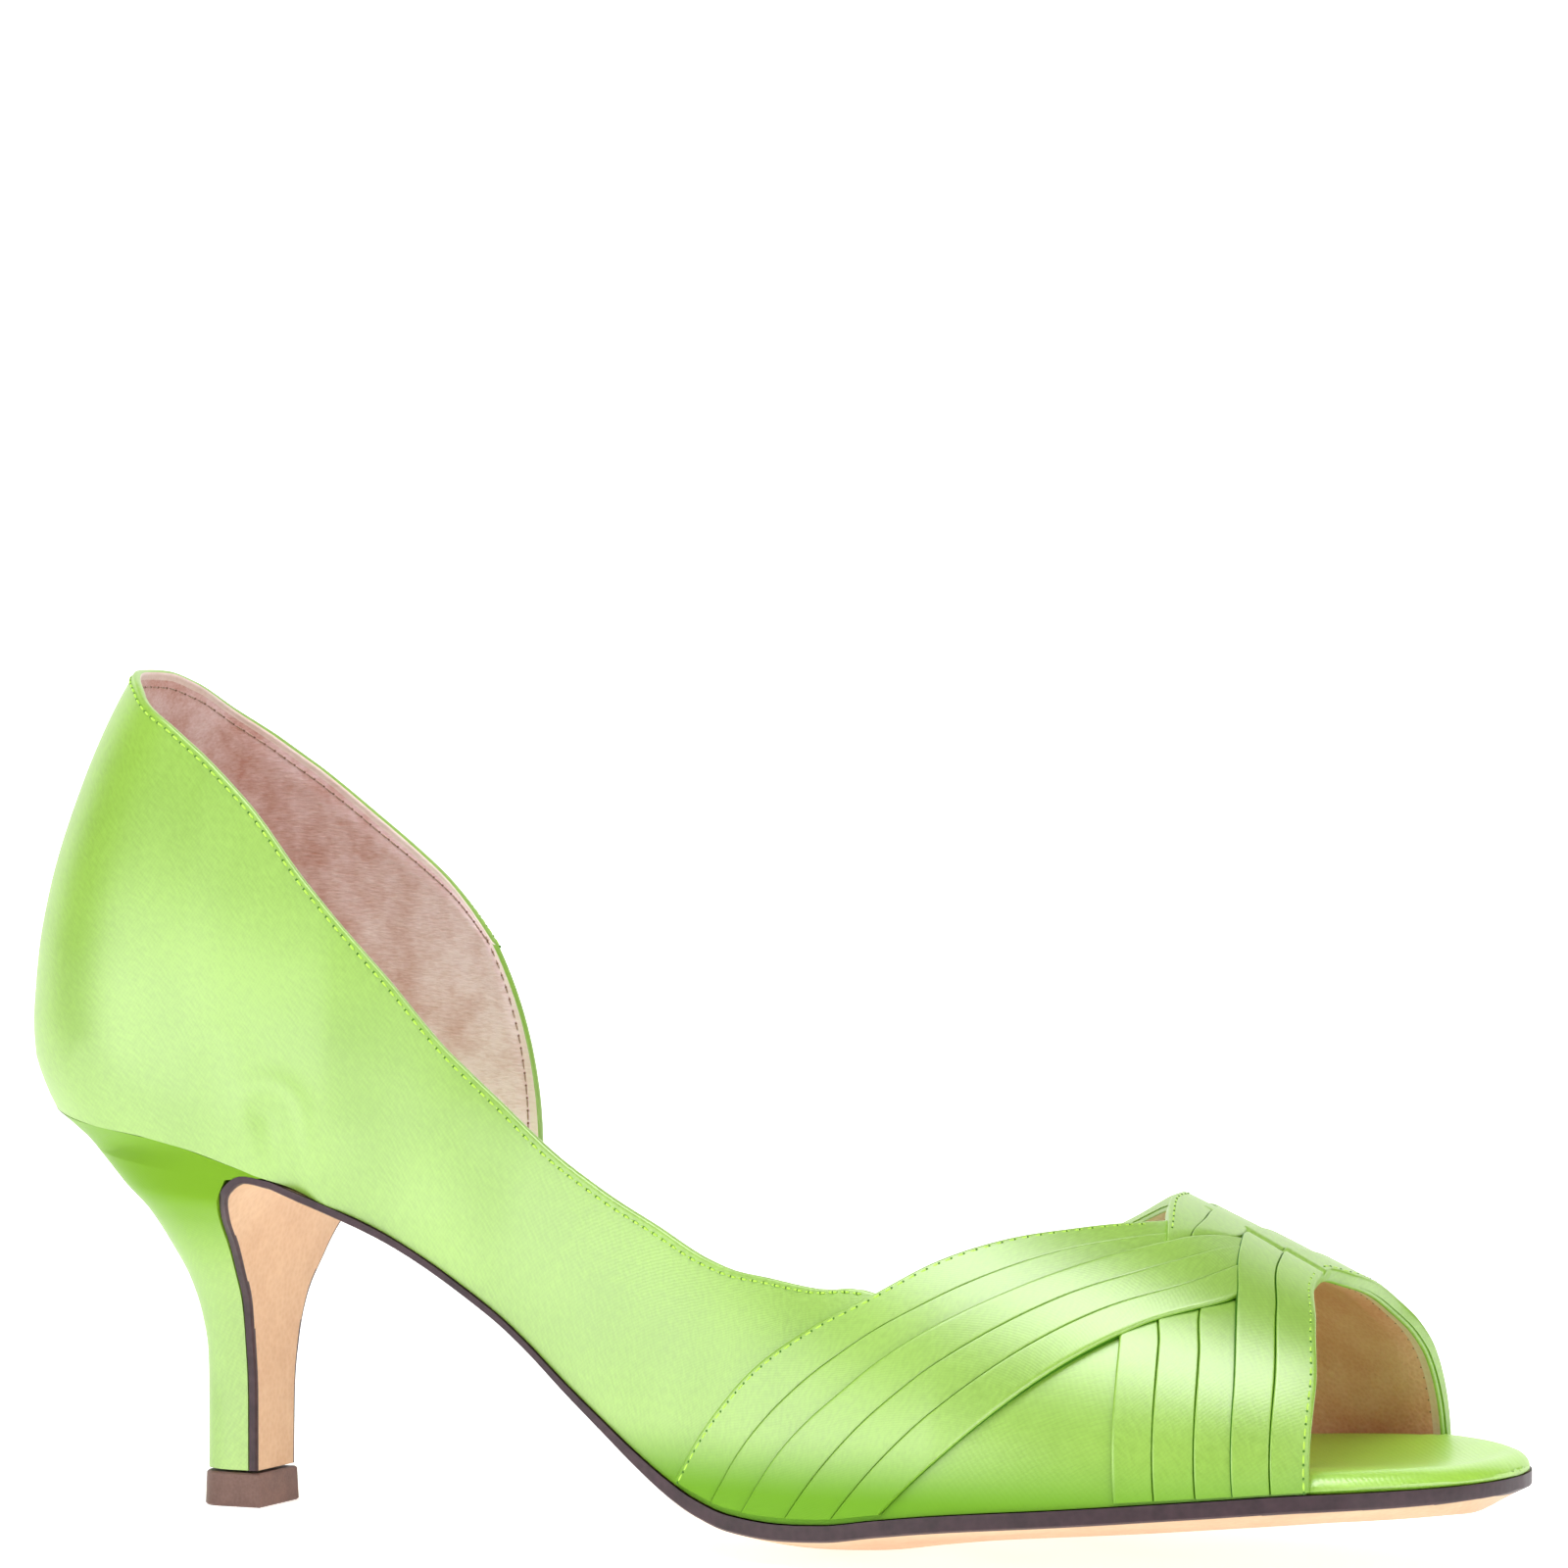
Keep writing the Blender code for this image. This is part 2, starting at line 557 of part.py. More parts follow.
def build_heel(collection, material):
    """Heel block lofted from the lift to the seat, hollow fronted for the turned down sole."""
    bm = bmesh.new()
    around = [math.radians(a) for a in range(-90, 91, 9)]
    rings = []
    for k, (fx, fz, rx, rz, half_front, half_full) in enumerate(HEEL_SECTIONS):
        power = mix(STEM_SQUARENESS, SEAT_SQUARENESS, k / len(HEEL_SECTIONS))
        ring = []
        for a in around:
            back = abs(math.cos(a)) ** (2.0 / power)
            side = math.copysign(abs(math.sin(a)) ** (2.0 / power), a)
            half = mix(half_front, half_full, min(back * HOLLOW_FRONT, 1.0))
            x, z = mix(fx, rx, back) * REACH, mix(fz, rz, back) * HEEL_HEIGHT
            ring.append(bm.verts.new((x, side * half * HALF_BALL, z)))
        rings.append(ring)
    seat = []
    radius = WIDTHS[0][1] * HALF_BALL - GAP / 2
    for a in around:
        angle = math.degrees(a)
        if abs(angle) > 45.0:
            share = (abs(angle) - 45.0) / 45.0
            s = mix(HEEL_CENTRE, BREAST, share)
            side = -1 if angle < 0 else 1
            x, y = s * REACH, side * (half_width(s, side) - GAP / 2)
        else:
            b = math.radians(2.0 * angle)
            x, y = HEEL_CENTRE * REACH - radius * math.cos(b), radius * math.sin(b)
        s = x / REACH
        seat.append(bm.verts.new((x, y, feather_z(s, y / radius) - GAP)))
    rings.append(seat)
    closed = [ring + [ring[0]] for ring in rings]
    grid_faces(bm, closed)
    bm.faces.new(rings[0])
    middle = len(around) // 2
    for i in range(middle):
        corners = [seat[i], seat[i + 1], seat[-2 - i], seat[-1 - i]]
        face = []
        for v in corners:
            if v not in face:
                face.append(v)
        if len(face) > 2:
            bm.faces.new(face)
    return new_object("heel", bm, material, collection)


def build_top_lift(collection, material):
    """Small D shaped top lift, flared a little to the floor."""
    bm = bmesh.new()
    half_l, half_w = LIFT_LENGTH / 2, LIFT_WIDTH / 2
    outline = [(half_l, -half_w), (half_l, half_w)]
    centre_x, centre_y = LIFT_CORNER - half_l, half_w - LIFT_CORNER
    for side, start in ((1, 90), (-1, 180)):
        for k in range(6):
            a = math.radians(start + 18 * k)
            x, y = centre_x + LIFT_CORNER * math.cos(a), side * centre_y + LIFT_CORNER * math.sin(a)
            outline.append((x, y))
    base = bm.faces.new([bm.verts.new((LIFT_AHEAD + x, y, 0.0)) for x, y in outline])
    made = bmesh.ops.extrude_face_region(bm, geom=[base])
    for item in made["geom"]:
        if isinstance(item, bmesh.types.BMVert):
            item.co.x = LIFT_AHEAD + (item.co.x - LIFT_AHEAD) * LIFT_NARROWING
            item.co.y *= LIFT_NARROWING
            item.co.z = LIFT_HEIGHT
    obj = new_object("top_lift", bm, material, collection)
    soften = obj.modifiers.new("soften", "BEVEL")
    soften.width = LIFT_SOFTENING
    soften.segments = 1
    soften.limit_method = "ANGLE"
    soften.angle_limit = math.radians(50)
    for polygon in obj.data.polygons:
        polygon.use_smooth = False
    return obj


def main():
    for obj in list(bpy.data.objects):
        bpy.data.objects.remove(obj)
    collection = bpy.data.collections.new("peep_toe_pump")
    scratch = bpy.data.collections.new("cutters")
    bpy.context.scene.collection.children.link(collection)
    bpy.context.scene.collection.children.link(scratch)
    satin = make_material("lime_satin", (0.37, 0.76, 0.10, 1.0), 0.45)
    wrapped = make_material("lime_satin_insole", (0.37, 0.76, 0.10, 1.0), 0.45)
    covered = make_material("lime_satin_heel", (0.37, 0.76, 0.10, 1.0), 0.45)
    leather = make_material("tan_sole_leather", (0.78, 0.50, 0.29, 1.0), 0.5)
    plastic = make_material("brown_lift_plastic", (0.20, 0.11, 0.08, 1.0), 0.5)

    upper = build_backing(collection, satin)
    for order, (name, plate) in enumerate(PLATES.items()):
        tool = build_plate(name, plate, STRIP_SINK + order * SINK_STEP, scratch, satin)
        join = upper.modifiers.new(name, "BOOLEAN")
        join.operation = "UNION"
        join.solver = "MANIFOLD"
        join.object = tool
    build_outsole(collection, leather)
    build_insole(collection, wrapped)
    build_heel(collection, covered)
    build_top_lift(collection, plastic)


main()
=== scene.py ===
"""Peep toe pump for a right foot, dressed: lime satin, woven pleated vamp, wrapped insole, slim heel.

Metres. The origin is on the top lift's flat bottom, under the heel's stem, +X runs to the toe, +Y to
the inner (medial) side of the foot and +Z up.
"""
import logging
import math
from collections.abc import Callable
from dataclasses import dataclass, field
from enum import Enum

import bmesh
import bpy
import numpy as np
from mathutils import Matrix, Vector


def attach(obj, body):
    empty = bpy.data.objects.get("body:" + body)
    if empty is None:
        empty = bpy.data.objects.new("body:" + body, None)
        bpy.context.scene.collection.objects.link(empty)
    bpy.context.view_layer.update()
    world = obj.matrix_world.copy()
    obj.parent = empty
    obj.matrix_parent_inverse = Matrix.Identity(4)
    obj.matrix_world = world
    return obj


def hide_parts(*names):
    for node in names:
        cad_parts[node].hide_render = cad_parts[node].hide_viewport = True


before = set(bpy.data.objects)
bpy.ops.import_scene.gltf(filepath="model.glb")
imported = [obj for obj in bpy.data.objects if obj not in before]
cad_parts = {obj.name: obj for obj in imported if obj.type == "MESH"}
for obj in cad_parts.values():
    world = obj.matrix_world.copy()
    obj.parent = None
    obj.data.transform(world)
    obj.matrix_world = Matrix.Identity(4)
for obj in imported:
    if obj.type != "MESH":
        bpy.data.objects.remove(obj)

MM = 0.001
LOG = logging.getLogger("peep_toe_pump")

# Seat and sole line at the feather edge: x by the last's reach, z by the heel height
FEATHER = (
    (-0.140, 1.000), (-0.090, 0.975), (0.000, 0.933), (0.070, 0.870), (0.100, 0.838),
    (0.140, 0.793), (0.190, 0.725), (0.270, 0.567), (0.300, 0.492), (0.333, 0.403), (0.365, 0.323),
    (0.400, 0.243), (0.433, 0.178), (0.453, 0.147), (0.485, 0.117), (0.525, 0.107), (0.565, 0.113),
    (0.605, 0.132), (0.655, 0.153), (0.740, 0.178), (0.840, 0.206), (0.910, 0.221), (1.006, 0.226),
)

# Half widths of the last: x by reach, outer and inner side by the half width at the ball
WIDTHS = (
    (-0.010, 0.637, 0.637), (0.050, 0.650, 0.630), (0.125, 0.650, 0.600), (0.200, 0.640, 0.563),
    (0.275, 0.640, 0.545), (0.350, 0.695, 0.570), (0.425, 0.795, 0.670), (0.500, 0.905, 0.805),
    (0.575, 0.983, 0.913), (0.650, 1.013, 0.958),
)

# Height of the rounded profile over the feather edge: x by reach, height by the instep
CROWN = (
    (-0.140, 0.955), (-0.100, 0.960), (-0.010, 1.015), (0.060, 1.090), (0.180, 1.080),
    (0.300, 0.980), (0.400, 0.965), (0.475, 0.887), (0.550, 0.754), (0.600, 0.670), (0.665, 0.578),
    (0.745, 0.492), (0.800, 0.427), (0.860, 0.353), (0.900, 0.303), (0.950, 0.235), (1.006, 0.115),
)

# Fullness of the counter: share of the rise to the collar, share of the full bulge
BULGE = (
    (0.00, 0.00), (0.05, 0.47), (0.13, 0.86), (0.22, 1.00), (0.35, 1.00), (0.50, 0.88),
    (0.76, 0.42), (1.00, 0.00),
)

# Top edge of the quarter: station, height over the feather edge by the instep
COLLAR_OUTER = (
    (-0.010, 0.755), (0.060, 0.668), (0.117, 0.560), (0.180, 0.464), (0.241, 0.392), (0.303, 0.372),
    (0.358, 0.391), (0.426, 0.421), (0.498, 0.424), (0.562, 0.406), (0.594, 0.403),
)
COLLAR_INNER = ((-0.010, 0.715), (0.053, 0.628), (0.113, 0.542), (0.170, 0.425))
COLLAR_BACK = ((0.0, 0.806), (20.0, 0.808), (45.0, 0.801), (70.0, 0.776), (90.0, 0.755))
COLLAR_BACK_INNER = ((0.0, 0.806), (20.0, 0.806), (45.0, 0.792), (70.0, 0.751), (90.0, 0.715))

# Foot and head stations of the quarter's upright lines
OUTER_LINES = (
    (0.020, 0.020), (0.055, 0.055), (0.090, 0.090), (0.125, 0.126), (0.160, 0.163), (0.195, 0.202),
    (0.230, 0.243), (0.260, 0.283), (0.290, 0.326), (0.320, 0.372), (0.348, 0.420), (0.374, 0.466),
    (0.397, 0.510), (0.417, 0.552), (0.435, 0.594),
)
INNER_LINES = (
    (0.020, 0.019), (0.060, 0.052), (0.100, 0.082), (0.136, 0.108), (0.164, 0.128), (0.183, 0.144),
    (0.1955, 0.158),
)

# Edges of the bands: rise in degrees over the profile, x by reach
L0 = (
    (0, 0.435), (8, 0.461), (18, 0.502), (27, 0.549), (35.2, 0.594), (44, 0.632), (54, 0.676),
    (62, 0.714), (68, 0.737), (72, 0.750), (78, 0.762), (90, 0.766), (105, 0.767), (142, 0.772),
    (180, 0.783),
)
L2 = (
    (0, 0.495), (9, 0.529), (21, 0.588), (36, 0.662), (44, 0.698), (52, 0.730), (58, 0.750),
    (62, 0.762), (67, 0.774), (72, 0.784), (77, 0.796), (81, 0.809), (88, 0.837), (93, 0.865),
)
L5 = ((0, 0.608), (10, 0.658), (25, 0.722), (42, 0.785), (58, 0.834), (75, 0.850), (90, 0.860))
M0 = (
    (0, 0.783), (38, 0.771), (50, 0.760), (57, 0.760), (66, 0.774), (71, 0.769), (76, 0.763),
    (79, 0.759), (83, 0.754), (89, 0.748), (97, 0.744), (106, 0.732), (116, 0.709), (126, 0.680),
    (136, 0.642), (146, 0.598), (155, 0.548), (163, 0.502), (172, 0.461), (180, 0.435),
)
M2 = (
    (75, 0.801), (83.5, 0.807), (90, 0.804), (96.5, 0.799), (115, 0.750), (129, 0.710),
    (144, 0.658), (159, 0.588), (171, 0.529), (180, 0.495),
)
M3 = ((0, 0.860), (29, 0.853), (58, 0.833), (70, 0.820), (84, 0.807))
M5 = (
    (0, 0.908), (33, 0.903), (58, 0.887), (76, 0.870), (90, 0.866), (97, 0.877), (121, 0.887),
    (130, 0.896), (143, 0.902), (180, 0.905),
)
INNER_UNDER = (
    (105, 0.775), (115, 0.744), (129, 0.704), (144, 0.652), (159, 0.582), (171, 0.523),
    (180, 0.489),
)
INNER_FAR = ((100, 0.835), (122, 0.834), (138, 0.785), (155, 0.722), (170, 0.658), (180, 0.608))

# Thickness of the sole sheet and depth of its belly along the shoe: x by reach, shares
SOLE_SHEET = (
    (0.070, 0.52, 0.00), (0.120, 0.52, 0.30), (0.200, 0.52, 0.55), (0.300, 0.56, 0.78),
    (0.360, 0.70, 0.92), (0.440, 1.00, 1.00), (0.750, 1.00, 1.00), (0.900, 1.00, 0.90),
    (1.006, 0.86, 0.60),
)

# Sole sheet where it turns down the heel breast: x by reach, z by heel height, turn in degrees,
# half width by the half width at the ball
BREAST_TURN = (
    (0.0930, 0.836, 10, 0.650), (0.0710, 0.847, 25, 0.645), (0.0530, 0.815, 48, 0.625),
    (0.0420, 0.747, 64, 0.530), (0.0355, 0.675, 76, 0.410), (0.0315, 0.600, 83, 0.320),
    (0.0280, 0.517, 87, 0.235), (0.0255, 0.417, 90, 0.190), (0.0245, 0.283, 90, 0.160),
    (0.0240, 0.092, 90, 0.155),
)

# Heel block: front x, front z, back x, back z, half width at the front and at the fullest
HEEL_SECTIONS = (
    (0.0225, 0.092, -0.0205, 0.092, 0.150, 0.155), (0.0230, 0.275, -0.0205, 0.275, 0.155, 0.158),
    (0.0240, 0.410, -0.0195, 0.385, 0.182, 0.190), (0.0262, 0.510, -0.0220, 0.475, 0.228, 0.240),
    (0.0295, 0.592, -0.0275, 0.567, 0.310, 0.325), (0.0332, 0.664, -0.0385, 0.652, 0.400, 0.415),
    (0.0385, 0.738, -0.0540, 0.748, 0.520, 0.528), (0.0468, 0.797, -0.0755, 0.822, 0.612, 0.612),
    (0.0550, 0.842, -0.1005, 0.903, 0.632, 0.630),
)


class Curve:
    """Smooth monotone line through a short table of chosen points."""

    def __init__(self, rows: tuple, column: int = 1) -> None:
        """Keep the points and the slope at each.

        Args:
            rows: The table, its stations in the first column.
            column: The column that the line reads.
        """
        self.x = np.array([row[0] for row in rows], float)
        self.y = np.array([row[column] for row in rows], float)
        run = np.diff(self.x)
        slope = np.diff(self.y) / run
        self.tangent = np.zeros(len(rows))
        self.tangent[0], self.tangent[-1] = slope[0], slope[-1]
        for i in range(1, len(rows) - 1):
            before, after = slope[i - 1], slope[i]
            if before * after > 0.0:
                w0, w1 = 2 * run[i] + run[i - 1], run[i] + 2 * run[i - 1]
                self.tangent[i] = (w0 + w1) / (w0 / before + w1 / after)

    def __call__(self, at: np.ndarray | float) -> np.ndarray:
        """Read the line, held level past its ends.

        Args:
            at: One or many stations.

        Returns:
            The line's values there.
        """
        at = np.clip(np.asarray(at, float), self.x[0], self.x[-1])
        k = np.clip(np.searchsorted(self.x, at, side="right") - 1, 0, len(self.x) - 2)
        h = self.x[k + 1] - self.x[k]
        t = (at - self.x[k]) / h
        value = (2 * t ** 3 - 3 * t ** 2 + 1) * self.y[k]
        value = value + (t ** 3 - 2 * t ** 2 + t) * h * self.tangent[k]
        value = value + (3 * t ** 2 - 2 * t ** 3) * self.y[k + 1]
        return value + (t ** 3 - t ** 2) * h * self.tangent[k + 1]


def mix(a: np.ndarray | float, b: np.ndarray | float, t: np.ndarray | float) -> np.ndarray | float:
    """Point at share t of the way from a to b."""
    return a + (b - a) * t


def smooth_share(t: np.ndarray | float) -> np.ndarray | float:
    """Share from 0 to 1 eased at both ends."""
    t = np.clip(t, 0.0, 1.0)
    return t * t * (3.0 - 2.0 * t)


@dataclass(frozen=True)
class Last:
    """The form that the shoe is made on, from its overall sizes and the tables above."""

    reach: float = 200 * MM
    half_ball: float = 40 * MM
    heel_height: float = 60 * MM
    instep: float = 80 * MM
    toe_skew: float = 4 * MM
    arch_raise: float = 5 * MM
    bulge_back: float = 4.3 * MM
    bulge_side: float = 1.4 * MM
    bulge_span: float = 0.79
    heel_centre: float = -0.010
    ball: float = 0.650
    tip: float = 1.006
    feather_line: Curve = field(default_factory=lambda: Curve(FEATHER))
    crown_line: Curve = field(default_factory=lambda: Curve(CROWN))
    bulge_line: Curve = field(default_factory=lambda: Curve(BULGE))
    outer_width: Curve = field(default_factory=lambda: Curve(WIDTHS, 1))
    inner_width: Curve = field(default_factory=lambda: Curve(WIDTHS, 2))

    def half_width(self, s: np.ndarray, side: np.ndarray | float) -> np.ndarray:
        """Half width of the last.

        Args:
            s: Stations by reach.
            side: -1 for the outer side, +1 for the inner side.

        Returns:
            Half widths in metres.
        """
        s, side = np.broadcast_arrays(np.asarray(s, float), np.asarray(side, float))
        share = np.where(side < 0, self.outer_width(s), self.inner_width(s))
        power = np.where(side < 0, 2.2, 2.1)
        f = np.clip((s - self.ball) / (self.tip - self.ball), 0.0, 1.0)
        toe = np.clip(1.0 - f ** power, 0.0, 1.0) ** (1.0 / power)
        radius = WIDTHS[0][1] * self.half_ball
        back = np.clip(self.heel_centre - s, 0.0, None) * self.reach
        heel = np.sqrt(np.clip(radius ** 2 - back ** 2, 0.0, None))
        return np.where(s < self.heel_centre, heel, share * self.half_ball * toe)

    def axis(self, s: np.ndarray) -> np.ndarray:
        """Sideways place of the centre line at stations s."""
        f = np.clip((s - self.ball) / (self.tip - self.ball), 0.0, 1.0)
        return self.toe_skew * f * f

    def feather(self, s: np.ndarray, across: np.ndarray | float) -> np.ndarray:
        """Height of the feather line; across runs from -1 on the outer side to +1 on the inner side."""
        raised = self.arch_raise * np.exp(-((s - 0.25) / 0.14) ** 2)
        return self.feather_line(s) * self.heel_height + raised * (1.0 + across) / 2.0

    def side(self, s: np.ndarray, rise: np.ndarray, side: float = -1.0) -> np.ndarray:
        """Points ahead of the heel centre.

        Args:
            s: Stations by reach.
            rise: Angle over the rounded profile in degrees, from the given side; past 90 it comes down
                the other side.
            side: -1 to start on the outer side, +1 on the inner side.

        Returns:
            Array of points, its last axis x, y, z.
        """
        s, rise = np.broadcast_arrays(np.asarray(s, float), np.asarray(rise, float))
        which = np.where(rise > 90.0, -side, side)
        a = np.radians(np.where(rise > 90.0, 180.0 - rise, rise))
        crown = self.crown_line(s) * self.instep
        fade = np.clip((0.44 - s) / 0.30, 0.0, 1.0)
        height = crown * np.sin(a)
        full = self.bulge_side * fade * fade * self.bulge_line(height / (self.bulge_span * self.instep))
        out = self.half_width(s, which) * np.cos(a) + full
        z = self.feather(s, which * np.cos(a)) + height
        return np.stack([s * self.reach, self.axis(s) + which * out, z], axis=-1)

    def heel(self, turn: np.ndarray, rise: np.ndarray) -> np.ndarray:
        """Points round the heel.

        Args:
            turn: 0 at the back, -90 on the inner side, 90 on the outer side, in degrees.
            rise: Angle over the rounded profile, in degrees.

        Returns:
            Array of points, its last axis x, y, z.
        """
        turn, rise = np.broadcast_arrays(np.asarray(turn, float), np.asarray(rise, float))
        b, a = np.radians(turn), np.radians(rise)
        radius = WIDTHS[0][1] * self.half_ball
        base = self.heel_centre - radius * np.cos(b) / self.reach
        height = self.crown_line(base) * self.instep * np.sin(a)
        full = mix(self.bulge_side, self.bulge_back, np.cos(b) ** 2)
        out = radius * np.cos(a) + full * self.bulge_line(height / (self.bulge_span * self.instep))
        z = self.feather(base, -np.sin(b)) + height
        return np.stack([self.heel_centre * self.reach - out * np.cos(b), -out * np.sin(b), z], axis=-1)

    def rise_of(self, height: np.ndarray, s: np.ndarray) -> np.ndarray:
        """Angle over the profile at which a height by the instep is reached at stations s."""
        return np.degrees(np.arcsin(np.clip(height / self.crown_line(s), 0.0, 1.0)))

    def normal(self, s: np.ndarray, rise: np.ndarray) -> np.ndarray:
        """Outward directions of the side surface, started from the outer side.

        Args:
            s: Stations by reach.
            rise: Angle over the rounded profile, in degrees.

        Returns:
            Unit normals.
        """
        along = self.side(s + 0.002, rise) - self.side(s - 0.002, rise)
        over = self.side(s, rise + 0.4) - self.side(s, rise - 0.4)
        n = np.cross(along, over)
        return n / np.linalg.norm(n, axis=-1, keepdims=True)


LAST = Last()


def grid_normals(grid: np.ndarray) -> np.ndarray:
    """Unit normals of a grid of points, square to its two directions.

    Args:
        grid: Points, columns by levels.

    Returns:
        A direction for each point.
    """
    n = np.cross(np.gradient(grid, axis=0), np.gradient(grid, axis=1))
    return n / np.clip(np.linalg.norm(n, axis=-1, keepdims=True), 1e-12, None)


def run_along(grid: np.ndarray, axis: int) -> np.ndarray:
    """Distance walked from the start of the grid along one of its axes.

    Args:
        grid: Points, columns by levels.
        axis: The axis that is walked.

    Returns:
        Metres walked to each point.
    """
    steps = np.linalg.norm(np.diff(grid, axis=axis), axis=-1)
    start = np.zeros_like(np.take(steps, [0], axis=axis))
    return np.concatenate([start, np.cumsum(steps, axis=axis)], axis=axis)


def linear(code: str) -> tuple[float, float, float, float]:
    """Turn an sRGB hex colour to the linear values that a shader takes.

    Args:
        code: The colour, such as #98C83C.

    Returns:
        Red, green, blue and alpha.
    """
    parts = [int(code[i:i + 2], 16) / 255.0 for i in (1, 3, 5)]
    values = [c / 12.92 if c <= 0.04045 else ((c + 0.055) / 1.055) ** 2.4 for c in parts]
    return (values[0], values[1], values[2], 1.0)


def add_node(tree: bpy.types.NodeTree, kind: str, settings: dict | None = None,
             links: dict | None = None) -> bpy.types.Node:
    """Add a node with its settings and links.

    Args:
        tree: The tree that the node goes into.
        kind: The node's type name.
        settings: Input values by name or number, or the node's own properties.
        links: Output sockets by the name or number of the input they feed.

    Returns:
        The node.
    """
    node = tree.nodes.new(kind)
    names = [socket.name for socket in node.inputs]
    for key, value in (settings or {}).items():
        if not isinstance(key, int) and key not in names:
            setattr(node, key, value)
    for key, value in (settings or {}).items():
        if isinstance(key, int) or key in names:
            node.inputs[key].default_value = value
    for key, source in (links or {}).items():
        tree.links.new(source, node.inputs[key])
    return node


def new_finish(name: str, values: dict) -> tuple[bpy.types.Material, bpy.types.NodeTree, bpy.types.Node]:
    """Start a material with its shader's plain values.

    Args:
        name: The material's name.
        values: Values for the shader's own sockets.

    Returns:
        The material, its tree and its shader.
    """
    material = bpy.data.materials.new(name)
    material.use_nodes = True
    tree = material.node_tree
    shader = tree.nodes["Principled BSDF"]
    for key, value in values.items():
        shader.inputs[key].default_value = value
    return material, tree, shader


@dataclass(frozen=True)
class Satin:
    """Polyester satin, woven with long floats: bright broad sheen, faint slanting lines of its weave."""

    name: str = "satin"
    shade: str = "#85B428"
    light: str = "#98C83C"
    twill: float = 0.50 * MM
    thread: float = 0.16 * MM
    slant: float = 32.0
    roughness: float = 0.37
    relief: float = 0.15
    # Painted shade: heights between which the colour darkens to the shaded tone and the gloss drops
    shaded_from: float = 20.0 * MM
    shaded_to: float = 10.0 * MM
    shaded: str = "#72A826"
    gloss: float = 1.0

    def material(self) -> bpy.types.Material:
        """Build the material on the piece's cloth map, in metres.

        Returns:
            The satin, lines of its weave, tone and gloss varied, with painted shade low on the shoe.
        """
        values = {"Specular IOR Level": self.gloss, "IOR": 1.82, "Sheen Weight": 0.03,
                  "Sheen Roughness": 0.35, "Sheen Tint": linear("#E8FFC8")}
        made, tree, shader = new_finish(self.name, values)
        cloth = add_node(tree, "ShaderNodeUVMap", {"uv_map": "cloth"})
        turned = add_node(tree, "ShaderNodeMapping", {"Rotation": (0.0, 0.0, math.radians(self.slant))},
                          {"Vector": cloth.outputs["UV"]})
        # A real float is 0.1 mm across; the lines are drawn at the pitch that shows in the picture
        lines = add_node(tree, "ShaderNodeTexWave", {"Scale": 0.314 / self.twill, "Distortion": 3.0,
                                                     "Detail": 2.0, "Detail Scale": 2.0},
                         {"Vector": turned.outputs["Vector"]})
        stretched = add_node(tree, "ShaderNodeMapping", {"Scale": (1.0 / 3.0, 1.0, 1.0)},
                             {"Vector": turned.outputs["Vector"]})
        slubs = add_node(tree, "ShaderNodeTexNoise", {"Scale": 1.0 / self.thread / 3.0, "Detail": 3.0},
                         {"Vector": stretched.outputs["Vector"]})
        place = add_node(tree, "ShaderNodeTexCoord")
        broad = add_node(tree, "ShaderNodeTexNoise", {"Scale": 40.0, "Detail": 2.0},
                         {"Vector": place.outputs["Object"]})
        tone = add_node(tree, "ShaderNodeMath", {"operation": "MULTIPLY_ADD", 1: 0.10},
                        {0: lines.outputs["Fac"], 2: broad.outputs["Fac"]})
        woven = add_node(tree, "ShaderNodeMath", {"operation": "ADD"},
                         {0: tone.outputs["Value"], 1: slubs.outputs["Fac"]})
        spread = add_node(tree, "ShaderNodeMapRange", {"From Min": 0.80, "From Max": 1.30},
                          {"Value": woven.outputs["Value"]})
        colour = add_node(tree, "ShaderNodeMix", {"data_type": "RGBA"}, {0: spread.outputs["Result"]})
        colour.inputs[6].default_value = linear(self.shade)
        colour.inputs[7].default_value = linear(self.light)
        # Painted shade: over a band of height the colour darkens to the shaded tone and the gloss drops,
        # low on the vamp and toward the seat on the heel
        height = add_node(tree, "ShaderNodeSeparateXYZ", None, {"Vector": place.outputs["Object"]})
        depth = add_node(tree, "ShaderNodeMapRange",
                         {"From Min": self.shaded_from, "From Max": self.shaded_to,
                          "interpolation_type": "SMOOTHSTEP"}, {"Value": height.outputs["Z"]})
        painted_shade = add_node(tree, "ShaderNodeMix", {"data_type": "RGBA"},
                        {0: depth.outputs["Result"], 6: colour.outputs[2]})
        painted_shade.inputs[7].default_value = linear(self.shaded)
        tree.links.new(painted_shade.outputs[2], shader.inputs["Base Color"])
        sheen = add_node(tree, "ShaderNodeMapRange", {"To Min": self.gloss, "To Max": 0.06},
                         {"Value": depth.outputs["Result"]})
        tree.links.new(sheen.outputs["Result"], shader.inputs["Specular IOR Level"])
        gloss = add_node(tree, "ShaderNodeMapRange",
                         {"To Min": self.roughness - 0.04, "To Max": self.roughness + 0.06},
                         {"Value": slubs.outputs["Fac"]})
        tree.links.new(gloss.outputs["Result"], shader.inputs["Roughness"])
        relief = add_node(tree, "ShaderNodeMath", {"operation": "MULTIPLY_ADD", 1: 0.6},
                          {0: lines.outputs["Fac"], 2: slubs.outputs["Fac"]})
        bump = add_node(tree, "ShaderNodeBump", {"Strength": self.relief, "Distance": 0.06 * MM},
                        {"Height": relief.outputs["Value"]})
        tree.links.new(bump.outputs["Normal"], shader.inputs["Normal"])
        return made


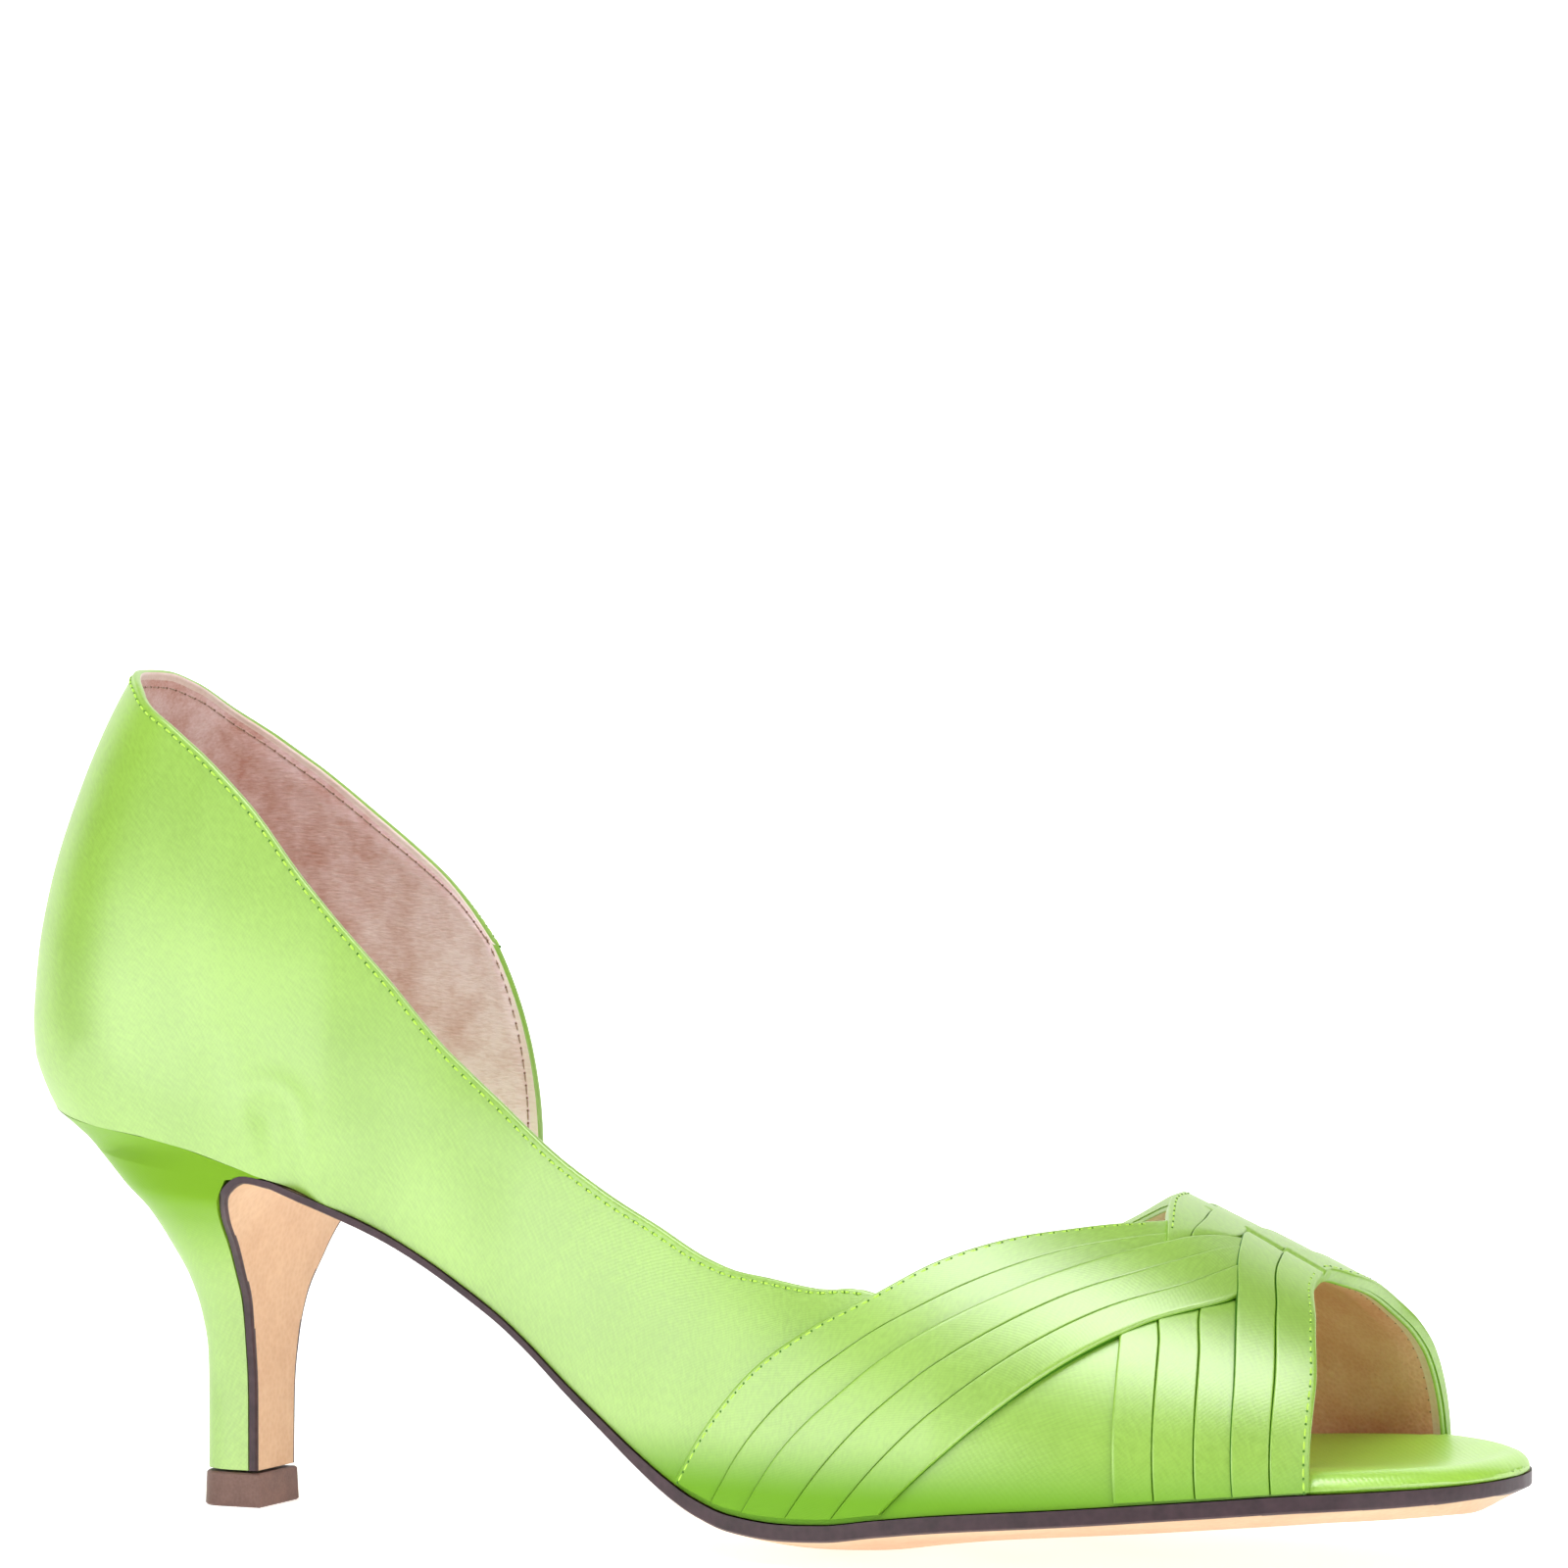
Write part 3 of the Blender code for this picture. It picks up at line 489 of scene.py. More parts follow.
@dataclass(frozen=True)
class Suede:
    """Split pigskin suede of the quarter lining: matt short nap, blotched by how the nap lies."""

    name: str = "pink_beige_suede"
    shade: str = "#CE9488"
    light: str = "#FFE6EC"
    blotch: float = 7.0 * MM
    nap: float = 0.35 * MM

    def material(self) -> bpy.types.Material:
        """Build the material on Object coordinates.

        Returns:
            The suede, blotched and brushed, with painted light making it paler toward the open front edge.
        """
        values = {"Roughness": 0.92, "Specular IOR Level": 0.2, "Sheen Weight": 0.35,
                  "Sheen Roughness": 0.6}
        made, tree, shader = new_finish(self.name, values)
        place = add_node(tree, "ShaderNodeTexCoord")
        patches = add_node(tree, "ShaderNodeTexNoise", {"Scale": 1.0 / self.blotch, "Detail": 5.0,
                                                        "Roughness": 0.65},
                           {"Vector": place.outputs["Object"]})
        brushed = add_node(tree, "ShaderNodeMapping", {"Rotation": (0.0, math.radians(35.0), 0.0),
                                                       "Scale": (0.22, 1.0, 1.0)},
                           {"Vector": place.outputs["Object"]})
        nap = add_node(tree, "ShaderNodeTexNoise", {"Scale": 1.0 / self.nap, "Detail": 3.0},
                       {"Vector": brushed.outputs["Vector"]})
        tone = add_node(tree, "ShaderNodeMath", {"operation": "MULTIPLY_ADD", 1: 0.45},
                        {0: nap.outputs["Fac"], 2: patches.outputs["Fac"]})
        # Painted light: the suede grows paler toward the open front edge, where more light reaches inside
        # the shoe
        ahead = add_node(tree, "ShaderNodeSeparateXYZ", None, {"Vector": place.outputs["Object"]})
        raised = add_node(tree, "ShaderNodeMapRange",
                          {"From Min": 2.0 * MM, "From Max": 42.0 * MM, "To Min": -0.06, "To Max": 0.36},
                          {"Value": ahead.outputs["X"]})
        whole = add_node(tree, "ShaderNodeMath", {"operation": "ADD"},
                         {0: tone.outputs["Value"], 1: raised.outputs["Result"]})
        spread = add_node(tree, "ShaderNodeMapRange", {"From Min": 0.48, "From Max": 1.05},
                          {"Value": whole.outputs["Value"]})
        colour = add_node(tree, "ShaderNodeMix", {"data_type": "RGBA"}, {0: spread.outputs["Result"]})
        colour.inputs[6].default_value = linear(self.shade)
        colour.inputs[7].default_value = linear(self.light)
        tree.links.new(colour.outputs[2], shader.inputs["Base Color"])
        bump = add_node(tree, "ShaderNodeBump", {"Strength": 0.6, "Distance": 0.12 * MM},
                        {"Height": nap.outputs["Fac"]})
        tree.links.new(bump.outputs["Normal"], shader.inputs["Normal"])
        return made


@dataclass(frozen=True)
class GrainLeather:
    """Finished leather with a fine rounded grain; also serves board and dyed edges."""

    name: str
    shade: str
    light: str
    grain: float = 0.6 * MM
    cloud: float = 14.0 * MM
    roughness: float = 0.5
    relief: float = 0.4
    coat: float = 0.0

    def material(self) -> bpy.types.Material:
        """Build the material on Object coordinates.

        Returns:
            The leather, clouded, with rounded cells of grain.
        """
        values = {"Specular IOR Level": 0.45, "Coat Weight": self.coat, "Coat Roughness": 0.25}
        made, tree, shader = new_finish(self.name, values)
        place = add_node(tree, "ShaderNodeTexCoord")
        cloud = add_node(tree, "ShaderNodeTexNoise", {"Scale": 1.0 / self.cloud, "Detail": 6.0,
                                                      "Roughness": 0.6},
                         {"Vector": place.outputs["Object"]})
        cells = add_node(tree, "ShaderNodeTexVoronoi", {"Scale": 1.0 / self.grain},
                         {"Vector": place.outputs["Object"]})
        tone = add_node(tree, "ShaderNodeMath", {"operation": "MULTIPLY_ADD", 1: 0.25},
                        {0: cells.outputs["Distance"], 2: cloud.outputs["Fac"]})
        spread = add_node(tree, "ShaderNodeMapRange", {"From Min": 0.38, "From Max": 0.85},
                          {"Value": tone.outputs["Value"]})
        colour = add_node(tree, "ShaderNodeMix", {"data_type": "RGBA"}, {0: spread.outputs["Result"]})
        colour.inputs[6].default_value = linear(self.shade)
        colour.inputs[7].default_value = linear(self.light)
        tree.links.new(colour.outputs[2], shader.inputs["Base Color"])
        gloss = add_node(tree, "ShaderNodeMapRange",
                         {"To Min": self.roughness - 0.06, "To Max": self.roughness + 0.10},
                         {"Value": cloud.outputs["Fac"]})
        tree.links.new(gloss.outputs["Result"], shader.inputs["Roughness"])
        bump = add_node(tree, "ShaderNodeBump", {"Strength": self.relief, "Distance": 0.08 * MM},
                        {"Height": cells.outputs["Distance"]})
        tree.links.new(bump.outputs["Normal"], shader.inputs["Normal"])
        return made


@dataclass(frozen=True)
class Thread:
    """Twisted polyester thread: soft round gloss with the slanting lines of its ply."""

    name: str
    shade: str
    light: str
    roughness: float = 0.55

    def material(self) -> bpy.types.Material:
        """Build the material on Object coordinates.

        Returns:
            The thread, with the light and dark of its ply.
        """
        made, tree, shader = new_finish(self.name, {"Roughness": self.roughness, "Sheen Weight": 0.2})
        place = add_node(tree, "ShaderNodeTexCoord")
        ply = add_node(tree, "ShaderNodeTexWave", {"Scale": 0.314 / (0.22 * MM), "Distortion": 2.0},
                       {"Vector": place.outputs["Object"]})
        colour = add_node(tree, "ShaderNodeMix", {"data_type": "RGBA"}, {0: ply.outputs["Fac"]})
        colour.inputs[6].default_value = linear(self.shade)
        colour.inputs[7].default_value = linear(self.light)
        tree.links.new(colour.outputs[2], shader.inputs["Base Color"])
        return made


class Wear(Enum):
    """Parts of a walled piece that take their own finish."""

    OUTER = 0
    EDGE = 1
    BORDER = 2
    LINING = 3


class PieceMesh:
    """Points, cloth map, faces and finishes of one piece, gathered before its object is made."""

    def __init__(self, name: str, finishes: list[bpy.types.Material]) -> None:
        """Start an empty piece.

        Args:
            name: The piece's name.
            finishes: Its materials, in the order that the faces number them.
        """
        self.name = name
        self.finishes = finishes
        self.points: list[np.ndarray] = []
        self.cloth: list[np.ndarray] = []
        self.faces: list[tuple[int, ...]] = []
        self.marks: list[int] = []
        self.count = 0

    def add_loops(self, loops: np.ndarray, cloth: np.ndarray, marks: np.ndarray,
                  closed: bool = True) -> None:
        """Add rings of points joined by quads.

        Args:
            loops: Rings by points by x, y, z.
            cloth: Cloth map of each point, in metres.
            marks: Finish number of each face along a ring, or of each ring's faces.
            closed: Whether a ring's last point joins its first.
        """
        rings, size = loops.shape[:2]
        marks = np.broadcast_to(marks, (rings - 1, size))
        start = self.count
        for i in range(rings - 1):
            for j in range(size if closed else size - 1):
                k = (j + 1) % size
                a, b = start + i * size, start + (i + 1) * size
                self.faces.append((a + j, a + k, b + k, b + j))
                self.marks.append(int(marks[i, j]))
        self.points.append(loops.reshape(-1, 3))
        self.cloth.append(cloth.reshape(-1, 2))
        self.count += rings * size

    def make(self, sharp: float = 60.0) -> bpy.types.Object:
        """Make the object: points merged, normals outward, smooth but for sharp edges.

        Args:
            sharp: Angle in degrees from which an edge stays crisp.

        Returns:
            The piece's object, linked to the scene.
        """
        mesh = bpy.data.meshes.new(self.name)
        mesh.from_pydata(np.concatenate(self.points).tolist(), [], self.faces)
        layer = mesh.uv_layers.new(name="cloth")
        corners = np.zeros(len(mesh.loops), int)
        mesh.loops.foreach_get("vertex_index", corners)
        layer.data.foreach_set("uv", np.concatenate(self.cloth)[corners].ravel())
        mesh.polygons.foreach_set("material_index", self.marks)
        for finish in self.finishes:
            mesh.materials.append(finish)
        work = bmesh.new()
        work.from_mesh(mesh)
        bmesh.ops.remove_doubles(work, verts=work.verts, dist=0.002 * MM)
        bmesh.ops.dissolve_degenerate(work, edges=work.edges, dist=0.001 * MM)
        bmesh.ops.recalc_face_normals(work, faces=work.faces)
        work.to_mesh(mesh)
        work.free()
        mesh.shade_smooth()
        mesh.set_sharp_from_angle(angle=math.radians(sharp))
        obj = bpy.data.objects.new(self.name, mesh)
        bpy.context.scene.collection.objects.link(obj)
        return obj


def declare(obj: bpy.types.Object, slot: str, *nodes: str) -> bpy.types.Object:
    """Let a finished piece ride on the shoe.

    Args:
        obj: The piece.
        slot: Not used.
        nodes: The solids that it stands for.

    Returns:
        The same piece.
    """
    if nodes:
        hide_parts(*nodes)
    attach(obj, "root")
    triangles = sum(len(face.vertices) - 2 for face in obj.data.polygons)
    LOG.info("%s: %d triangles", obj.name, triangles)
    return obj


@dataclass(frozen=True)
class Wall:
    """How a sheet on the last gets its thickness, rolled edges and finishes."""

    thickness: float = 1.8 * MM
    thin_edge: float = 1.5 * MM
    taper: float = 4.0 * MM
    roll: float = 0.55 * MM
    border: tuple = (0.0, 0.55 * MM, 1.1 * MM, 1.7 * MM)
    inner_edge: Wear = Wear.EDGE
    steps: int = 6

    def rows(self, length: np.ndarray, count: int, low: bool) -> np.ndarray:
        """Shares along each line of a sheet, set close beside its free edges.

        Args:
            length: Length of each line, in metres.
            count: Number of rows between the borders.
            low: Whether the first row is a free edge too.

        Returns:
            Lines by rows, from 0 to 1.
        """
        near = np.array(self.border)[None, :] / length[:, None]
        first = near[:, -1:] if low else near[:, :1]
        last = 1.0 - near[:, -1:]
        middle = mix(first, last, np.linspace(0.0, 1.0, count)[None, :])
        parts = [middle, 1.0 - near[:, ::-1][:, 1:]]
        return np.concatenate([near[:, :-1], *parts] if low else parts, axis=1)

    def add_to(self, piece: PieceMesh, grid: np.ndarray, roll_low: bool, ends: tuple[bool, bool],
               roll_high: bool = True) -> None:
        """Add the walled sheet to a piece.

        Args:
            piece: The piece that takes it.
            grid: Outer face, columns by levels, its normals pointing out of the shoe.
            roll_low: Whether the first level is a free rolled edge.
            ends: Whether the first and the last column are free rolled edges.
            roll_high: Whether the last level is a free rolled edge.
        """
        normal = grid_normals(grid)
        up = run_along(grid, 1)
        along = run_along(grid, 0)
        to_high = up[:, -1:] - up
        thick = np.full(grid.shape[:2], self.thickness)
        reaches = ((roll_high, to_high), (roll_low, up), (ends[0], along), (ends[1], along[-1:] - along))
        for free, distance in reaches:
            if free:
                share = smooth_share(distance / self.taper)
                thick = np.minimum(thick, mix(self.thin_edge, self.thickness, share))
        angles = np.linspace(0.0, math.pi, self.steps + 2)[1:-1]
        rings, cloth = [], []
        m = grid.shape[1]
        middle = grid - normal * thick[..., None] / 2
        half = normal * thick[..., None] / 2
        top_way = self.unit(grid[:, -1] - grid[:, -3])
        low_way = self.unit(grid[:, 0] - grid[:, 2])
        end_angles = np.linspace(math.pi / 2, 0.0, self.steps // 2 + 1)[:-1]

        high_roll = self.roll if roll_high else 0.0
        low_roll = self.roll if roll_low else 0.0

        def rolled(edge: np.ndarray, out: np.ndarray, way: np.ndarray) -> np.ndarray:
            """Half round of points about one edge."""
            return np.array([edge + out * math.cos(a) + way * math.sin(a) for a in angles])

        def ring(i: int, swell: float, push: np.ndarray) -> None:
            """Go once round the wall: outer face, top edge, inner face, low edge.

            Args:
                i: The column.
                swell: Share of the wall's thickness.
                push: How far the loop is moved, for an end cap.
            """
            line, out = middle[i] + push, half[i] * swell
            top = rolled(line[-1], out[-1], top_way[i] * high_roll * swell)
            low = rolled(line[0], -out[0], low_way[i] * low_roll * swell)
            points = np.concatenate([line + out, top, (line - out)[::-1], low])
            rings.append(points)
            steps = np.linalg.norm(np.diff(points, axis=0), axis=-1)
            v = np.concatenate([[0.0], np.cumsum(steps)])
            cloth.append(np.stack([np.full(len(v), along[i].mean()), v], axis=-1))

        first = self.unit(grid[0] - grid[2]) * self.roll
        last = self.unit(grid[-1] - grid[-3]) * self.roll
        if ends[0]:
            for a in end_angles:
                ring(0, math.cos(a), first * math.sin(a))
        else:
            ring(0, 0.0, first * 0.0)
        for i in range(grid.shape[0]):
            ring(i, 1.0, grid[i] * 0.0)
        if ends[1]:
            for a in end_angles[::-1]:
                ring(-1, math.cos(a), last * math.sin(a))
        else:
            ring(-1, 0.0, last * 0.0)
        size = 2 * m + 2 * self.steps
        marks = np.full((len(rings) - 1, size), Wear.EDGE.value)
        marks[:, :m - 1] = Wear.OUTER.value
        inner = np.full((grid.shape[0], m), Wear.LINING.value)
        band = len(self.border) - 1
        if roll_high:
            inner[:, -band:] = Wear.BORDER.value
            marks[:, m + self.steps - 2:m + self.steps] = self.inner_edge.value
        if roll_low:
            inner[:, :band + 1] = Wear.BORDER.value
        if ends[0]:
            inner[:band] = Wear.BORDER.value
        if ends[1]:
            inner[-1 - band:] = Wear.BORDER.value
        lead = len(end_angles) if ends[0] else 1
        for i in range(grid.shape[0] - 1):
            marks[lead + i, m + self.steps:2 * m + self.steps - 1] = inner[i, 1:][::-1]
        piece.add_loops(np.array(rings), np.array(cloth), marks)

    @staticmethod
    def unit(v: np.ndarray) -> np.ndarray:
        """Directions of unit length."""
        return v / np.clip(np.linalg.norm(v, axis=-1, keepdims=True), 1e-12, None)


@dataclass(frozen=True)
class Crease:
    """Soft trough pressed in the satin by hand: its line in x and z on one side, in millimetres."""

    line: tuple
    depth: float
    width: float
    side: float = -1.0

    def depth_at(self, grid: np.ndarray) -> np.ndarray:
        """How far each point sinks, with a low ridge beside the trough.

        Args:
            grid: Points of the satin, columns by levels.

        Returns:
            Depth at each point, in metres.
        """
        p = grid[..., [0, 2]]
        best = np.full(grid.shape[:2], 1.0)
        for a, b in zip(self.line, self.line[1:]):
            a, b = np.array(a) * MM, np.array(b) * MM
            t = np.clip(((p - a) @ (b - a)) / ((b - a) @ (b - a)), 0.0, 1.0)
            best = np.minimum(best, np.linalg.norm(p - (a + t[..., None] * (b - a)), axis=-1))
        x = best / (self.width * MM)
        shape = np.exp(-x ** 2) - 0.45 * np.exp(-((x - 1.9) / 0.8) ** 2)
        return np.where(grid[..., 1] * self.side > 0.0, self.depth * MM * shape, 0.0)


@dataclass(frozen=True)
class Quarter:
    """The closed counter and outer side: satin outside, suede inside, rolled top edge."""

    wall: Wall = Wall(thin_edge=1.3 * MM, roll=0.40 * MM, border=(0.0, 0.4 * MM, 0.8 * MM, 1.2 * MM),
                      inner_edge=Wear.BORDER)
    levels: int = 42
    inner_columns: int = 34
    heel_columns: int = 76
    outer_columns: int = 84
    lap: float = 0.016
    join_rise: float = 35.2
    join_from: float = 0.552
    join_over: float = 0.042
    corner: float = 9.0 * MM
    corner_drop: float = 1.6 * MM
    creases: tuple = (
        Crease(((19.4, 60.0), (20.2, 55.5), (21.4, 51.0), (23.0, 47.0)), 0.60, 2.5),
        Crease(((-2.0, 58.5), (-7.0, 61.0), (-12.0, 65.0)), 0.16, 2.6),
        Crease(((-14.0, 60.0), (-20.0, 60.5), (-26.0, 63.0)), 0.14, 2.4),
        Crease(((8.0, 56.0), (9.5, 62.0), (9.5, 68.0)), 0.12, 2.4),
        Crease(((36.0, 47.0), (42.0, 52.0), (50.0, 56.0)), 0.14, 4.0),
        Crease(((4.0, 57.0), (8.0, 62.0), (12.0, 66.0)), 0.16, 2.6, 1.0),
    )

    def level_rows(self, place: Callable[[np.ndarray], np.ndarray]) -> np.ndarray:
        """Levels of each column, from the column's own length.

        Args:
            place: Gives the columns' points at an array of levels.

        Returns:
            Columns by levels, from 0 to 1.
        """
        trial = place(np.linspace(0.0, 1.0, 30)[None, :])
        return self.wall.rows(run_along(trial, 1)[:, -1], self.levels, False)

    def inner_part(self) -> np.ndarray:
        """Columns of the inner side, from its open front edge to the heel.

        Returns:
            Points, columns by levels.
        """
        front = INNER_LINES[-1][0]
        close = front - np.array(self.wall.border) / LAST.reach
        foot = np.concatenate([close, np.linspace(close[-1], INNER_LINES[0][0], self.inner_columns)[1:]])
        head = Curve(INNER_LINES)(foot)
        near = np.clip(1.0 - (head[0] - head) * LAST.reach / self.corner, 0.0, 1.0)
        drop = self.corner_drop * near ** 2
        top = LAST.rise_of(Curve(COLLAR_INNER)(head) - drop / LAST.instep, head)

        def place(level: np.ndarray) -> np.ndarray:
            """Points of the leaning lines at these levels."""
            s = mix(foot[:, None], head[:, None], level ** 2.6)
            return LAST.side(s, top[:, None] * level, 1.0)

        return place(self.level_rows(place))

    def heel_part(self) -> np.ndarray:
        """Columns round the heel, from the inner to the outer side.

        Returns:
            Points, columns by levels.
        """
        turn = np.linspace(-90.0, 90.0, self.heel_columns)
        base = LAST.heel_centre - WIDTHS[0][1] * LAST.half_ball * np.cos(np.radians(turn)) / LAST.reach
        collar = np.where(turn >= 0, Curve(COLLAR_BACK)(abs(turn)), Curve(COLLAR_BACK_INNER)(abs(turn)))
        top = LAST.rise_of(collar, base)

        def place(level: np.ndarray) -> np.ndarray:
            """Points of the lines round the heel at these levels."""
            return LAST.heel(turn[:, None], top[:, None] * level)

        return place(self.level_rows(place))

    def outer_part(self) -> np.ndarray:
        """Columns of the closed outer side, run on a little under the vamp's strips.

        Returns:
            Points, columns by levels.
        """
        foot = np.linspace(OUTER_LINES[0][0], OUTER_LINES[-1][0], self.outer_columns)
        head = Curve(OUTER_LINES)(foot)
        top = LAST.rise_of(Curve(COLLAR_OUTER)(head), head)
        top = mix(top, self.join_rise, smooth_share((head - self.join_from) / self.join_over))
        foot = np.concatenate([foot, foot[-1] + np.linspace(0.2, 1.0, 5) * self.lap])
        head = np.concatenate([head, head[-1] + np.linspace(0.2, 1.0, 5) * self.lap])
        top = np.concatenate([top, top[-1] * np.linspace(0.995, 0.97, 5)])
        edge = Curve(L0)

        def place(level: np.ndarray) -> np.ndarray:
            """Points of the lines that lean with the rear edge of the weave.

            Args:
                level: Shares of the way up.

            Returns:
                Points, columns by levels.
            """
            rise = self.join_rise * level
            lean = (edge(rise) - edge(0.0)) / (edge(self.join_rise) - edge(0.0))
            return LAST.side(mix(foot[:, None], head[:, None], lean), top[:, None] * level)

        return place(self.level_rows(place))

    def grid(self) -> np.ndarray:
        """Outer face from the inner front edge round the heel to the vamp.

        Returns:
            Points, columns by levels.
        """
        grid = np.concatenate([self.inner_part(), self.heel_part()[1:-1], self.outer_part()])
        sink = sum(crease.depth_at(grid) for crease in self.creases)
        grid = grid + grid_normals(grid) * -sink[..., None] * self.outward(grid)
        up = run_along(grid, 1)
        near = 1.0 - smooth_share((up[:, -1:] - up) / self.wall.taper)
        way = Wall.unit(grid[:, -1] - grid[:, -3])
        return grid - self.wall.roll * near[..., None] * way[:, None, :]

    @staticmethod
    def outward(grid: np.ndarray) -> float:
        """Sign that turns the grid's normals out of the shoe.

        Args:
            grid: Points, columns by levels.

        Returns:
            1 or -1.
        """
        third = grid.shape[0] // 3
        out = grid[third, 2] - grid[:, 2].mean(axis=0)
        return 1.0 if grid_normals(grid)[third, 2] @ out > 0 else -1.0

    def build(self, finishes: dict[Wear, bpy.types.Material]) -> tuple[bpy.types.Object, np.ndarray]:
        """Build the quarter.

        Args:
            finishes: Finish of each part of its wall.

        Returns:
            The object, and its outer face for the seams.
        """
        grid = self.grid()
        if self.outward(grid) < 0.0:
            grid = grid[::-1]
        piece = PieceMesh("quarter_satin", [finishes[w] for w in Wear])
        free_first = grid[0, 0, 1] > 0.0
        self.wall.add_to(piece, grid, False, (free_first, not free_first))
        return declare(piece.make(), "lime_satin", "upper"), grid


@dataclass(frozen=True)
class VampBacking:
    """The vamp under its woven strips: leather lined, its throat and toe edges turned."""

    wall: Wall = Wall(thickness=2.0 * MM, thin_edge=1.0 * MM, taper=5.0 * MM, roll=0.4 * MM,
                      border=(0.0, 0.4 * MM, 0.8 * MM, 1.2 * MM))
    setback: float = 0.6 * MM
    opens_from: float = 35.2
    opens_over: float = 6.0
    columns: int = 130
    levels: int = 44

    def grid(self) -> np.ndarray:
        """Outer face, from the outer side over the instep to the inner side.

        Returns:
            Points, columns by places from rear to front.
        """
        rise = np.linspace(0.0, 180.0, self.columns)
        rear_low, rear_far = Curve(L0)(rise), Curve(M0)(rise)
        opened = np.clip((rise - self.opens_from) / self.opens_over, 0.0, 1.0)
        back = self.setback / LAST.reach
        rear = np.minimum(rear_low + back * opened, rear_far + back)
        front = Curve(M5)(rise) - back
        share = self.wall.rows((front - rear) * LAST.reach, self.levels, True)
        return LAST.side(mix(rear[:, None], front[:, None], share), rise[:, None])

    def build(self, finishes: dict[Wear, bpy.types.Material]) -> tuple[bpy.types.Object, np.ndarray]:
        """Build the backing.

        Args:
            finishes: Finish of each part of its wall.

        Returns:
            The object, and its outer face for the seams.
        """
        grid = self.grid()
        out = LAST.normal(np.array([0.85]), np.array([40.0]))[0]
        if grid_normals(grid)[30, 30] @ out < 0.0:
            grid = grid[::-1]
        piece = PieceMesh("vamp_backing", [finishes[w] for w in Wear])
        self.wall.add_to(piece, grid, True, (False, False))
        return declare(piece.make(), "lime_satin", "upper"), grid


# Places across one pleated strip, close together beside its folded edges
STRIP_PLACES = (
    0.0, 0.014, 0.03, 0.05, 0.08, 0.13, 0.22, 0.34, 0.5, 0.66, 0.78, 0.86, 0.92, 0.955, 0.975, 0.988,
)


